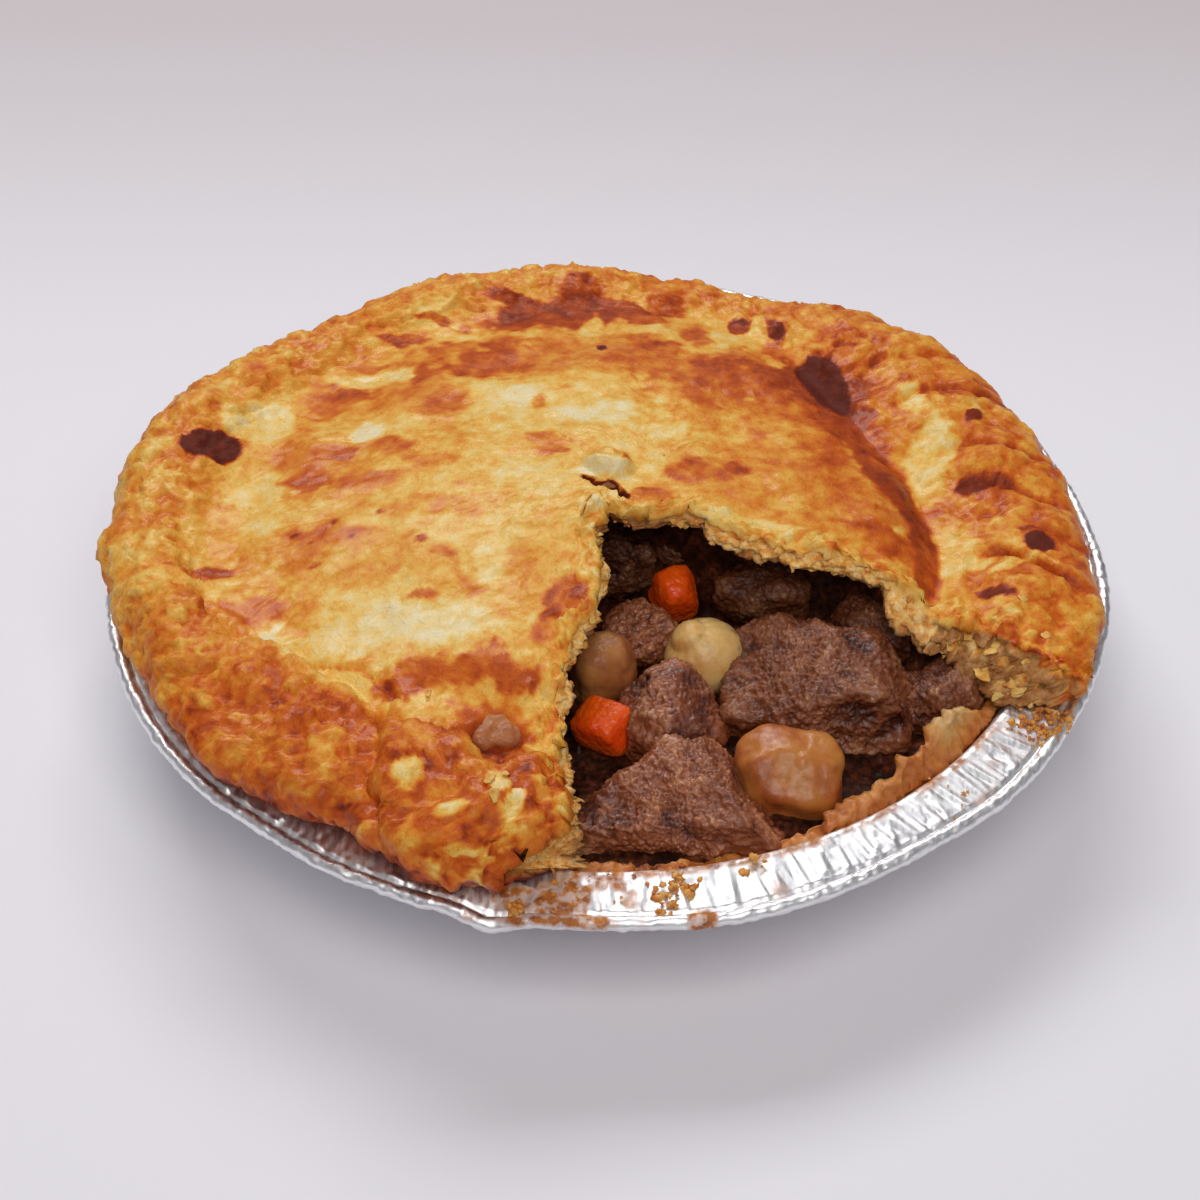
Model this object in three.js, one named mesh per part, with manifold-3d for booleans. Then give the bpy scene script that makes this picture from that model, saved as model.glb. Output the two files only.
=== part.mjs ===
// A whole beef and ale pie in its foil tin, with one slice taken out.
// Millimetres, +Z up. Origin at the middle of the tin's base; the missing slice faces -Y and +X.
import * as THREE from 'three';
import Module from 'manifold-3d';
import { mergeVertices } from 'three/addons/utils/BufferGeometryUtils.js';

const wasm = await Module();
wasm.setup();

// ---- driving dimensions ---------------------------------------------------------------------

const GAP = 0.3;                  // clearance kept between pieces that touch
const SEGMENTS = 48;              // facets round the tin, the case and the filling
const LID_SEGMENTS = 48;          // facets round the lid, from one cut face to the other

const TIN_RADIUS = 102;           // outside of the rolled bead, an eight inch pie tin
const TIN_HEIGHT = 27;            // height of the middle of the bead
const TIN_FOOT_RADIUS = 75;
const FOIL = 0.6;                 // thickness of the tin's wall
const BEAD_RADIUS = 1.4;
const FLANGE_INNER_RADIUS = 89.4;
const FLANGE_RISE = 1.4;          // how much higher the flange is at its inner edge

const CASE_WALL = 3.2;            // base pastry, up the wall
const CASE_FLOOR = 3.0;
const CHAMFER = 0.8;              // slope of the case's torn top edge

const LID_THICKNESS = 4.6;
const DOME_HEIGHT = 23;           // top of the lid above the bead
const DOME_FALL = 11;             // drop of the dome at DOME_FALL_RADIUS
const DOME_FALL_RADIUS = 75;
const GROOVE_DEPTH = 2.2;         // dip between the dome and the crimped rim
const RIM_SEAT_RADIUS = 83;       // where the rim starts to lie on the tin
const RIM_SEAT_HEIGHT = TIN_HEIGHT + FLANGE_RISE + FOIL + GAP + 0.1;
const RIM_MIDDLE = TIN_HEIGHT + 6.5;

const GRAVY_LEVEL = TIN_HEIGHT - 5.5;   // top of the gravy in the missing slice
const BANK_START = 1.5;           // the filling rises again this far behind a cut face ...
const BANK_WIDTH = 9;             // ... over this distance

// The crimped rim, as (azimuth, outer radius, height of its crest over the bead, groove radius).
const RIM = [
  [-30, 101.8, 11.5, 70],
  [-18, 101.0, 12.2, 68],
  [-5, 97.6, 12.4, 67],
  [10, 97.2, 12.6, 66],
  [27, 97.6, 13.8, 66],
  [41, 98.4, 15.0, 66],
  [49, 96.4, 13.0, 67],
  [57, 93.4, 12.0, 70],
  [67, 90.0, 10.2, 73],
  [78, 92.0, 11.4, 75],
  [95, 94.0, 13.0, 77],
  [112, 97.0, 14.8, 77],
  [127, 95.0, 13.4, 77],
  [138, 96.0, 14.4, 77],
  [148, 98.6, 16.0, 78],
  [157, 101.4, 17.4, 78],
  [170, 101.7, 16.2, 79],
  [185, 101.4, 14.0, 81],
  [202, 100.2, 14.0, 78],
  [218, 99.8, 14.2, 72],
  [232, 99.4, 14.8, 68],
  [243, 97.0, 15.0, 67],
  [254, 99.8, 15.4, 70],
  [264, 96.6, 14.0, 73],
];

// The two cut edges in plan, as (radius, azimuth).
const RIGHT_CUT = [
  [0, -30], [19, -26], [33, -27], [46, -21], [63, -28], [80, -28], [101, -33],
];
const LEFT_CUT = [
  [0, 258], [14, 260], [24, 267], [36, 266], [41, 260], [70, 262], [101, 265],
];

// ---- small helpers --------------------------------------------------------------------------

const radians = THREE.MathUtils.degToRad;
const lerp = THREE.MathUtils.lerp;
const smoothstep = THREE.MathUtils.smoothstep;

// Value of a column of a table whose first column rises, with smooth steps between its rows.
function along(table, x, column) {
  if (x <= table[0][0]) return table[0][column];
  for (let i = 1; i < table.length; i += 1) {
    if (x <= table[i][0]) {
      const t = smoothstep(x, table[i - 1][0], table[i][0]);
      return lerp(table[i - 1][column], table[i][column], t);
    }
  }
  return table[table.length - 1][column];
}

function polar(r, azimuth, z) {
  return new THREE.Vector3(r * Math.cos(radians(azimuth)), r * Math.sin(radians(azimuth)), z);
}

// Closed body from sections that share their first and last points' order: sections[i] is a
// closed loop of points, and neighbouring sections are joined. The two ends are capped, or the
// last section is joined to the first when the body goes all the way round.
function loft(sections, closed) {
  const count = sections[0].length;
  const positions = sections.flat().flatMap((p) => [p.x, p.y, p.z]);
  const index = [];
  const at = (i, j) => (i % sections.length) * count + (j % count);
  const steps = closed ? sections.length : sections.length - 1;
  for (let i = 0; i < steps; i += 1) {
    for (let j = 0; j < count; j += 1) {
      index.push(at(i, j), at(i + 1, j + 1), at(i + 1, j));
      index.push(at(i, j), at(i, j + 1), at(i + 1, j + 1));
    }
  }
  if (!closed) {
    capWithStrip(index, count, 0, false);
    capWithStrip(index, count, (sections.length - 1) * count, true);
  }
  return cleaned(positions, index);
}

// Caps a section as a strip between its upper run and its lower run, which have as many points.
function capWithStrip(index, count, base, flip) {
  for (let j = 0; j < count / 2 - 1; j += 1) {
    const a = base + j;
    const b = base + j + 1;
    const c = base + count - 2 - j;
    const d = base + count - 1 - j;
    const faces = flip ? [a, b, c, a, c, d] : [a, c, b, a, d, c];
    index.push(...faces);
  }
}

// Merges equal points and drops the faces that have shrunk to a line.
function cleaned(positions, index) {
  const raw = new THREE.BufferGeometry();
  raw.setAttribute('position', new THREE.Float32BufferAttribute(positions, 3));
  raw.setIndex(index);
  const merged = mergeVertices(raw, 1e-3);
  const old = merged.getIndex().array;
  const kept = [];
  for (let i = 0; i < old.length; i += 3) {
    const [a, b, c] = [old[i], old[i + 1], old[i + 2]];
    if (a !== b && b !== c && a !== c) kept.push(a, b, c);
  }
  merged.setIndex(kept);
  return merged;
}

function toManifold(geometry) {
  const plain = geometry.clone();
  plain.deleteAttribute('normal');
  plain.deleteAttribute('uv');
  const merged = mergeVertices(plain, 1e-4);
  return new wasm.Manifold(new wasm.Mesh({
    numProp: 3,
    vertProperties: new Float32Array(merged.attributes.position.array),
    triVerts: new Uint32Array(merged.getIndex().array),
  }));
}

function toGeometry(manifold) {
  const mesh = manifold.getMesh();
  const geometry = new THREE.BufferGeometry();
  geometry.setAttribute('position', new THREE.Float32BufferAttribute(mesh.vertProperties, 3));
  geometry.setIndex([...mesh.triVerts]);
  geometry.computeVertexNormals();
  return geometry;
}

// The cuts can leave a splinter of filling beside the wall, which is dropped.
function largestBody(manifold) {
  return manifold.decompose().reduce((a, b) => (a.volume() > b.volume() ? a : b));
}

function piece(name, geometry, color, roughness, metalness = 0) {
  const material = new THREE.MeshStandardMaterial({ color, roughness, metalness });
  const mesh = new THREE.Mesh(geometry, material);
  mesh.name = name;
  return mesh;
}

// ---- foil tin -------------------------------------------------------------------------------

// The sloping inner wall of the tin, from its foot to its flange, as (radius, height).
const WALL_FOOT = [TIN_FOOT_RADIUS - 0.8, FOIL + 0.9];
const WALL_HEAD = [FLANGE_INNER_RADIUS - 1, TIN_HEIGHT + FLANGE_RISE - 0.2];

function tinInside(z) {
  return lerp(WALL_FOOT[0], WALL_HEAD[0], (z - WALL_FOOT[1]) / (WALL_HEAD[1] - WALL_FOOT[1]));
}

function foilPiece(name, profile) {
  const points = profile.map(([r, z]) => new THREE.Vector2(r, z));
  const geometry = new THREE.LatheGeometry(points, SEGMENTS, Math.PI / 2);
  geometry.rotateX(Math.PI / 2);
  const positions = [...geometry.attributes.position.array];
  return piece(name, cleaned(positions, [...geometry.getIndex().array]), 0xc9cacc, 0.28, 1);
}

// The tin's cup: its base and its sloping wall.
function foilTin() {
  return foilPiece('foil_tin', [
    [0, 0],
    [TIN_FOOT_RADIUS - 1, 0],
    [TIN_FOOT_RADIUS, 1],
    [WALL_HEAD[0] + 0.5, WALL_HEAD[1] - GAP],
    WALL_HEAD,
    WALL_FOOT,
    [TIN_FOOT_RADIUS - 1.6, FOIL],
    [0, FOIL],
  ]);
}

// The tin's flange, which slopes down a little to the rolled bead round its edge.
function foilFlange() {
  const flangeTop = TIN_HEIGHT + FLANGE_RISE;
  const beadCentre = TIN_RADIUS - BEAD_RADIUS;
  const inner = [WALL_HEAD[0] + 0.2, WALL_HEAD[1] + GAP];
  const profile = [
    inner,
    [FLANGE_INNER_RADIUS + 0.8, flangeTop - 0.1],
    [beadCentre - BEAD_RADIUS + 0.2, TIN_HEIGHT],
  ];
  const beadSteps = 5;
  for (let i = 0; i <= beadSteps; i += 1) {
    const angle = radians(lerp(-130, 130, i / beadSteps));
    profile.push([beadCentre + BEAD_RADIUS * Math.cos(angle), TIN_HEIGHT + BEAD_RADIUS * Math.sin(angle)]);
  }
  profile.push(
    [beadCentre - BEAD_RADIUS, TIN_HEIGHT + FOIL],
    [FLANGE_INNER_RADIUS, flangeTop + FOIL],
    inner,
  );
  return foilPiece('foil_flange', profile);
}

// ---- lid ------------------------------------------------------------------------------------

function domeHeight(r) {
  return TIN_HEIGHT + DOME_HEIGHT - DOME_FALL * (r / DOME_FALL_RADIUS) ** 2;
}

function rimAt(azimuth) {
  const turned = azimuth < RIM[0][0] ? azimuth + 360 : azimuth;
  return {
    outer: along(RIM, turned, 1),
    crest: TIN_HEIGHT + along(RIM, turned, 2),
    groove: along(RIM, turned, 3),
  };
}

// Height of the lid's underside, which lies flat on the tin's flange past the seat.
function lidUnderside(r, azimuth) {
  const { groove } = rimAt(azimuth);
  const grooveUnder = domeHeight(groove) - GROOVE_DEPTH - LID_THICKNESS;
  if (r <= groove) {
    const dip = GROOVE_DEPTH * smoothstep(r, groove - 14, groove);
    return domeHeight(r) - dip - LID_THICKNESS;
  }
  return lerp(grooveUnder, RIM_SEAT_HEIGHT, smoothstep(r, groove, RIM_SEAT_RADIUS));
}

// Pleats pinched into the rim, deepest on its crest.
function pleat(azimuth) {
  const spacing = 9.5;
  const phase = azimuth + 3 * Math.sin(radians(azimuth * 5));
  return 0.7 * Math.cos((2 * Math.PI * phase) / spacing);
}

// One section of the lid as (radius, height) pairs: an upper run out to the rim's foot, then a
// lower run back to the middle with as many points. `raise` lifts the upper run for clearance.
function lidSection(azimuth, raise) {
  const { outer, crest, groove } = rimAt(azimuth);
  const upper = [];
  const domeSteps = 6;
  for (let i = 0; i <= domeSteps; i += 1) {
    const r = (groove * i) / domeSteps;
    upper.push([r, domeHeight(r) - GROOVE_DEPTH * smoothstep(r, groove - 14, groove) + raise]);
  }
  const middle = (groove + outer) / 2 + 1;
  const grooveShare = (upper[domeSteps][1] - raise - RIM_MIDDLE) / (crest - RIM_MIDDLE);
  const start = Math.asin(Math.min(grooveShare, 0.9));
  const rimSteps = 7;
  for (let i = 1; i <= rimSteps; i += 1) {
    const angle = lerp(Math.PI - start * 0.8, -1.15, i / rimSteps);
    const half = Math.cos(angle) < 0 ? middle - groove : outer - middle;
    const rise = Math.sin(angle) > 0 ? crest - RIM_MIDDLE + pleat(azimuth) : 4.6;
    upper.push([middle + half * Math.cos(angle), RIM_MIDDLE + rise * Math.sin(angle) + raise]);
  }
  const footRadius = upper[upper.length - 1][0];
  const lower = upper.map((_, i) => {
    const r = footRadius * (1 - i / (upper.length - 1)) - (i === 0 ? 1.5 : 0);
    return [Math.max(r, 0), lidUnderside(r, azimuth)];
  });
  return [...upper, ...lower];
}

function lidGeometry(raise) {
  const sections = [];
  for (let i = 0; i <= LID_SEGMENTS; i += 1) {
    const t = i / LID_SEGMENTS;
    const middleAzimuth = lerp(RIGHT_CUT[5][1], LEFT_CUT[5][1], t);
    const section = lidSection(middleAzimuth, raise).map(([r, z]) => {
      const azimuth = lerp(along(RIGHT_CUT, r, 1), along(LEFT_CUT, r, 1), t);
      return polar(r, azimuth, z);
    });
    sections.push(section);
  }
  return loft(sections, false);
}

function pastryLid() {
  return piece('pastry_lid', lidGeometry(0), 0xd9994a, 0.6);
}

// ---- pastry case ----------------------------------------------------------------------------

// The case's top edge over the bead: level under the lid, torn low at the front of the missing
// slice, and a standing strip of broken wall beside the right cut face.
const CASE_EDGE = [
  [-97, 0.2], [-92, -2.5], [-78, -4.0], [-66, -3.0], [-60, 0.5], [-52, 3.0], [-44, 5.0],
  [-37, 6.5], [-33, 4.5], [-30, 0.2],
];

function caseTop(azimuth) {
  const inSlice = azimuth > 180 ? azimuth - 360 : azimuth;
  return TIN_HEIGHT + along(CASE_EDGE, inSlice, 1);
}

function ringSections(profileAt) {
  const sections = [];
  for (let i = 0; i < SEGMENTS; i += 1) {
    const azimuth = (360 * i) / SEGMENTS;
    sections.push(profileAt(azimuth).map(([r, z]) => polar(r, azimuth, z)));
  }
  return sections;
}

// The base pastry as a bowl. `grow` thickens it inwards, for cutting its neighbours clear of it.
function caseGeometry(grow) {
  const wall = CASE_WALL + grow;
  const floor = CASE_FLOOR + FOIL + GAP + grow;
  const sections = ringSections((azimuth) => {
    const top = caseTop(azimuth) + grow;
    const lean = Math.max(top - TIN_HEIGHT, 0) * 0.9;
    const outerTop = tinInside(Math.min(top - CHAMFER, TIN_HEIGHT)) - GAP - lean;
    return [
      [0, floor],
      [TIN_FOOT_RADIUS - wall - 3, floor],
      [tinInside(CASE_FLOOR + 4) - wall - GAP, floor + 3],
      [outerTop - wall, top],
      [outerTop, top - CHAMFER],
      [tinInside(2.5) - GAP, 2.5],
      [TIN_FOOT_RADIUS - 2.2, FOIL + GAP],
      [0, FOIL + GAP],
    ];
  });
  return loft(sections, true);
}

function pastryCase() {
  return piece('pastry_case', caseGeometry(0), 0xd3a062, 0.75);
}

// ---- filling --------------------------------------------------------------------------------

// Distance of a place behind the nearer cut face, positive under the lid.
function behindCut(r, azimuth) {
  const turned = azimuth < -120 ? azimuth + 360 : azimuth;
  const right = radians(turned - along(RIGHT_CUT, r, 1));
  const left = radians(along(LEFT_CUT, r, 1) - turned);
  const reach = (angle) => (angle < Math.PI / 2 ? r * Math.sin(angle) : r);
  return Math.min(reach(right), reach(left));
}

function fillingTop(r, azimuth) {
  const under = lidUnderside(r, azimuth) - GAP - 0.2;
  const level = GRAVY_LEVEL + 0.8 * Math.sin(r * 0.31 + azimuth * 0.13);
  const bank = smoothstep(behindCut(r, azimuth), BANK_START, BANK_START + BANK_WIDTH);
  return Math.min(lerp(level, under, bank), under);
}

function fillingBody() {
  const floor = CASE_FLOOR + FOIL + 2 * GAP;
  const steps = 7;
  const sections = ringSections((azimuth) => {
    const signed = azimuth > 264 ? azimuth - 360 : azimuth;
    const edge = tinInside(GRAVY_LEVEL) - CASE_WALL - 2 * GAP - 0.2;
    const profile = [];
    for (let i = 0; i <= steps; i += 1) {
      const r = (edge * i) / steps;
      profile.push([r, i === 0 ? lidUnderside(0, 90) - 6 : fillingTop(r, signed)]);
    }
    const brim = Math.min(profile[steps][1] - 1.5, caseTop(azimuth) - 0.5, GRAVY_LEVEL);
    profile[steps][1] = Math.min(profile[steps][1], GRAVY_LEVEL + 0.5);
    profile.push([edge - 0.3, brim], [TIN_FOOT_RADIUS - CASE_WALL - 3.4, floor + 0.3], [0, floor]);
    return profile;
  });
  return loft(sections, true);
}

// Food pieces in the missing slice: centre with its height over the bead, half sizes, turn about Z and tilt in degrees. A
// higher `power` makes a piece squarer, `lumps` makes it more uneven.
const CHUNKS = [
  { name: 'pearl_onion', at: [19.5, -26.5, -0.5], half: [8.2, 8.0, 8.0], turn: 20, tilt: 10,
    power: 2, lumps: 0.02, seed: 1, detail: 2, color: 0xb8a270, roughness: 0.3 },
  { name: 'potato_piece', at: [35.0, -58.5, -2.5], half: [10.6, 8.8, 8.2], turn: -8, tilt: 12,
    power: 3, lumps: 0.05, seed: 2, detail: 2, color: 0xb08a55, roughness: 0.35 },
  { name: 'carrot_piece_back', at: [13.8, -8.0, 0.0], half: [4.4, 4.4, 6.4], turn: 25, tilt: 18,
    power: 4, lumps: 0.03, seed: 3, detail: 2, color: 0xe0521c, roughness: 0.35 },
  { name: 'carrot_piece_front', at: [-0.6, -46.0, -1.0], half: [6.0, 4.6, 4.4], turn: -28, tilt: 15,
    power: 4, lumps: 0.03, seed: 4, detail: 2, color: 0xe0521c, roughness: 0.35 },
  { name: 'onion_piece', at: [-0.8, -29.5, -1.5], half: [6.6, 6.4, 8.4], turn: 10, tilt: 0,
    power: 2.4, lumps: 0.04, seed: 5, detail: 2, color: 0x9c8566, roughness: 0.35 },
  { name: 'beef_piece_right', at: [40.5, -36.0, -1.5], half: [20.0, 12.8, 9.4], turn: -14, tilt: 8,
    power: 2.8, lumps: 0.09, seed: 6, detail: 3, color: 0x6b4334, roughness: 0.5 },
  { name: 'beef_piece_front', at: [13.5, -67.0, -3.5], half: [20.0, 12.6, 9.0], turn: -10, tilt: 6,
    power: 2.8, lumps: 0.09, seed: 7, detail: 3, color: 0x6b4334, roughness: 0.5 },
  { name: 'beef_piece_middle', at: [12.5, -43.5, -1.0], half: [9.4, 8.6, 8.0], turn: 30, tilt: 10,
    power: 2.6, lumps: 0.1, seed: 8, detail: 2, color: 0x6b4334, roughness: 0.5 },
  { name: 'beef_piece_small', at: [6.8, -18.6, -1.5], half: [6.2, 6.0, 5.6], turn: 15, tilt: 0,
    power: 2.6, lumps: 0.1, seed: 9, detail: 2, color: 0x6b4334, roughness: 0.5 },
  { name: 'beef_piece_edge', at: [65.0, -36.0, -3.0], half: [8.4, 7.0, 6.4], turn: 20, tilt: 0,
    power: 2.6, lumps: 0.1, seed: 10, detail: 2, color: 0x6b4334, roughness: 0.5 },
];

const CRUST_LUMP = { name: 'filling_on_crust', at: [-21.5, -61.0, 14.6], half: [5.6, 4.4, 3.6],
  turn: 20, tilt: 0, power: 2.4, lumps: 0.06, seed: 11, detail: 2, color: 0x9a7350, roughness: 0.5 };

// Smooth unevenness of a food piece, between -1 and 1 over directions.
function lumpiness(d, seed) {
  const a = Math.sin(3.1 * d.x + 1.7 * seed) * Math.cos(2.7 * d.y - 0.9 * seed);
  const b = Math.sin(5.3 * d.z + 2.3 * seed + 2 * d.x);
  const c = Math.cos(6.1 * d.y + 1.1 * seed) * Math.sin(4.9 * d.x - seed);
  return (a + 0.6 * b + 0.5 * c) / 2.1;
}

function foodGeometry(spec, grow) {
  const geometry = new THREE.IcosahedronGeometry(1, spec.detail);
  geometry.deleteAttribute('normal');
  geometry.deleteAttribute('uv');
  const merged = mergeVertices(geometry, 1e-4);
  const position = merged.attributes.position;
  const turn = new THREE.Euler(radians(spec.tilt), 0, radians(spec.turn), 'ZXY');
  const d = new THREE.Vector3();
  for (let i = 0; i < position.count; i += 1) {
    d.fromBufferAttribute(position, i).normalize();
    const sum = [d.x, d.y, d.z].reduce(
      (total, value, axis) => total + Math.abs(value / spec.half[axis]) ** spec.power, 0);
    const reach = sum ** (-1 / spec.power) * (1 + spec.lumps * lumpiness(d, spec.seed)) + grow;
    d.multiplyScalar(reach).applyEuler(turn);
    position.setXYZ(i, d.x + spec.at[0], d.y + spec.at[1], d.z + spec.at[2] + TIN_HEIGHT);
  }
  return merged;
}

function sliceFood() {
  let filling = toManifold(fillingBody());
  const pieces = [];
  const placed = [];
  const wall = toManifold(caseGeometry(GAP));
  for (const spec of CHUNKS) {
    let body = toManifold(foodGeometry(spec, 0)).subtract(wall);
    for (const earlier of placed) body = body.subtract(toManifold(foodGeometry(earlier, GAP)));
    filling = filling.subtract(toManifold(foodGeometry(spec, GAP)));
    pieces.push(piece(spec.name, toGeometry(body), spec.color, spec.roughness));
    placed.push(spec);
  }
  const filled = toGeometry(largestBody(filling.subtract(wall)));
  return [piece('beef_filling', filled, 0x4a2b20, 0.35), ...pieces];
}

function fillingOnCrust() {
  const lump = toManifold(foodGeometry(CRUST_LUMP, 0)).subtract(toManifold(lidGeometry(GAP)));
  return piece(CRUST_LUMP.name, toGeometry(lump), CRUST_LUMP.color, CRUST_LUMP.roughness);
}

// ---- the whole pie --------------------------------------------------------------------------

const pie = new THREE.Group();
pie.add(foilTin(), foilFlange(), pastryCase(), pastryLid(), ...sliceFood(), fillingOnCrust());

export default pie;
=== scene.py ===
"""A whole beef and ale pie in its foil tin, with one slice taken out."""
import itertools
import math

import bmesh
import bpy
import numpy as np
from bpy.props import FloatProperty, FloatVectorProperty, IntProperty, PointerProperty
from mathutils import Matrix, Vector


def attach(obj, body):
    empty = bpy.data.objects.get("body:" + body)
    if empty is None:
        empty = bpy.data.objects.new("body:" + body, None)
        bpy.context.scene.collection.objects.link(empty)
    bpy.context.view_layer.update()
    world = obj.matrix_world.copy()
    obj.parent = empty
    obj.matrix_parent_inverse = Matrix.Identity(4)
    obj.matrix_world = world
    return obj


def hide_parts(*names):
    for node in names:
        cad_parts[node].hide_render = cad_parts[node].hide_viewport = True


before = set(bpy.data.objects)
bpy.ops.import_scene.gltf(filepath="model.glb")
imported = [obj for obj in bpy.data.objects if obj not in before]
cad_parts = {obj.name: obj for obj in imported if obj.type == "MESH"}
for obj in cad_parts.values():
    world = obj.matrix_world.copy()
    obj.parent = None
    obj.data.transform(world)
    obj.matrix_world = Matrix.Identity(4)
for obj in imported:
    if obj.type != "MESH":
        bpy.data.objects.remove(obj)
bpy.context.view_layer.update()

bl_info = {
    "name": "Beef and ale pie",
    "version": (1, 0, 0),
    "blender": (4, 5, 0),
    "location": "3D View > Sidebar > Pie",
    "description": "Builds the finished pie round its packed solids",
    "category": "Add Mesh",
}

BODY = "root"
MM = 0.001                # metres in a millimetre; shapes below are worked out in millimetres

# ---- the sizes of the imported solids, in millimetres and degrees ----------------------------------

TIN_RADIUS = 102.0
TIN_HEIGHT = 27.0         # middle of the rolled bead
TIN_FOOT_RADIUS = 75.0
FOIL = 0.6
BEAD_RADIUS = 1.4
FLANGE_INNER_RADIUS = 89.4
FLANGE_RISE = 1.4
WALL_FOOT = (TIN_FOOT_RADIUS - 0.8, FOIL + 0.9)
WALL_HEAD = (FLANGE_INNER_RADIUS - 1.0, TIN_HEIGHT + FLANGE_RISE - 0.2)

CASE_WALL = 3.2
CASE_FLOOR = 3.0
CHAMFER = 0.8
GAP = 0.3

LID_THICKNESS = 4.6
DOME_TOP = TIN_HEIGHT + 23.0
DOME_FALL = 11.0
DOME_FALL_RADIUS = 75.0
GROOVE_DEPTH = 2.2
GROOVE_WIDTH = 14.0
RIM_SEAT_RADIUS = 83.0
RIM_SEAT_HEIGHT = TIN_HEIGHT + FLANGE_RISE + FOIL + GAP + 0.1
RIM_MIDDLE = TIN_HEIGHT + 6.5
RIM_UNDER = 4.6
RIM_LAST_ANGLE = -1.15

GRAVY_LEVEL = TIN_HEIGHT - 5.5
BANK_START = 1.5
BANK_WIDTH = 9.0

# The crimped rim: azimuth, outer radius, height of its crest over the bead, groove radius.
RIM = np.array([
    (-30, 101.8, 11.5, 70), (-18, 101.0, 12.2, 68), (-5, 97.6, 12.4, 67), (10, 97.2, 12.6, 64.5),
    (27, 97.6, 13.8, 62), (41, 98.4, 15.0, 63.5), (49, 96.4, 13.0, 66), (57, 93.4, 12.0, 70),
    (67, 90.0, 10.2, 73), (78, 92.0, 11.4, 75), (95, 94.0, 13.0, 77), (112, 97.0, 14.8, 77),
    (127, 95.0, 13.4, 77), (138, 96.0, 14.4, 77), (148, 98.6, 16.0, 78), (157, 101.4, 17.4, 78),
    (170, 101.7, 16.2, 79), (185, 101.4, 14.0, 81), (202, 100.2, 14.0, 78), (218, 99.8, 14.2, 72),
    (232, 99.4, 14.8, 68), (243, 97.0, 15.0, 67), (254, 99.8, 15.4, 70), (264, 96.6, 14.0, 73),
])

# The two cut edges in plan: radius, azimuth.
RIGHT_CUT = np.array([(0, -30), (19, -26), (33, -27), (46, -21), (63, -28), (80, -28), (101, -33)])
LEFT_CUT = np.array([(0, 258), (14, 260), (24, 267), (36, 266), (41, 260), (70, 262), (101, 265)])
LID_START, LID_END = RIGHT_CUT[5][1], LEFT_CUT[5][1]
# The same edges as they are torn: they all but meet in front of the middle.
RIGHT_TEAR = np.array([
    (0, -88.5), (8.5, -88.5), (9.2, -84), (9.8, -77), (11.0, -74), (11.5, -65), (12.7, -61), (13.0, -52),
    (14.4, -48), (14.9, -41), (17.0, -36), (17.7, -30), (20, -28), (33, -27), (46, -21), (58, -20.5),
    (64.5, -21.5), (70, -23.3), (77, -23.8), (84, -22.5), (90.5, -24.7), (97, -26.4), (102, -25),
])
RIGHT_FOOT = np.array([*map(tuple, RIGHT_TEAR[:-7]), (63, -27), (80, -28.5), (92, -29.5), (102, -27)])
LEFT_TEAR = np.array([
    (0, 268.5), (9, 268.5), (11.5, 265), (14, 259), (24, 267), (36, 266), (41, 260), (70, 262.5),
    (84, 265), (89, 264.8), (92, 263), (94.5, 260.8), (97.5, 257.6), (101, 256),
])
LEFT_FOOT = np.array([
    *map(tuple, LEFT_TEAR[:-6]), (75, 265), (84, 267.5), (88, 267.8), (91, 264), (95, 259.5), (101, 256),
])

# The case's top edge over the bead: azimuth, height.
CASE_EDGE = np.array([(-97, 0.2), (-92, -2.5), (-78, -4.0), (-66, -3.0), (-60, 0.5), (-52, 3.0),
                      (-44, 4.0), (-37, 4.8), (-33, 3.0), (-30, 0.2)])


# ---- numbers: steps, tables and noise ------------------------------------------------------------

def lerp(low, high, share):
    return low + (high - low) * share


def smooth(value, low, high):
    """0 below low, 1 above high, with a soft step between them."""
    share = np.clip((value - low) / (high - low), 0.0, 1.0)
    return share * share * (3.0 - 2.0 * share)


def band(value, start, full, fading, end):
    """0 below start, 1 from full to fading, and 0 above end."""
    return smooth(value, start, full) * smooth(value, end, fading)


def along(table, value, column):
    """A column of a table whose first column rises, with soft steps between its rows."""
    value = np.asarray(value, float)
    row = np.clip(np.searchsorted(table[:, 0], value) - 1, 0, len(table) - 2)
    low, high = table[row], table[row + 1]
    return lerp(low[..., column], high[..., column], smooth(value, low[..., 0], high[..., 0]))


def place(radius, azimuth, height):
    """Points from radius, azimuth in degrees and height."""
    turn = np.radians(azimuth)
    radius, turn, height = np.broadcast_arrays(radius, turn, height)
    return np.stack([radius * np.cos(turn), radius * np.sin(turn), height], axis=-1)


def polar(points):
    """Radius, and azimuth in degrees from -180 to 180, of each point."""
    return np.hypot(points[..., 0], points[..., 1]), np.degrees(np.arctan2(points[..., 1], points[..., 0]))


def scrambled(cell, seed):
    """A repeatable 32 bit number for each whole-numbered place."""
    mask = np.uint64(0xFFFFFFFF)
    x, y, z = (cell[..., axis].astype(np.uint64) for axis in range(3))
    mixed = (x * np.uint64(374761393) + y * np.uint64(668265263) + z * np.uint64(1440662683)
             + np.uint64(seed * 974634777 + 12345)) & mask
    for shift, factor in ((13, 1274126177), (16, 2246822519), (15, 3266489917)):
        mixed = ((mixed ^ (mixed >> np.uint64(shift))) * np.uint64(factor)) & mask
    return mixed ^ (mixed >> np.uint64(14))


def directions(cell, seed):
    """Three repeatable numbers from -1 to 1 for each place."""
    mixed = scrambled(cell, seed)
    parts = [(mixed >> np.uint64(shift)) & np.uint64(1023) for shift in (0, 10, 20)]
    return np.stack(parts, axis=-1).astype(float) / 511.5 - 1.0


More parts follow.
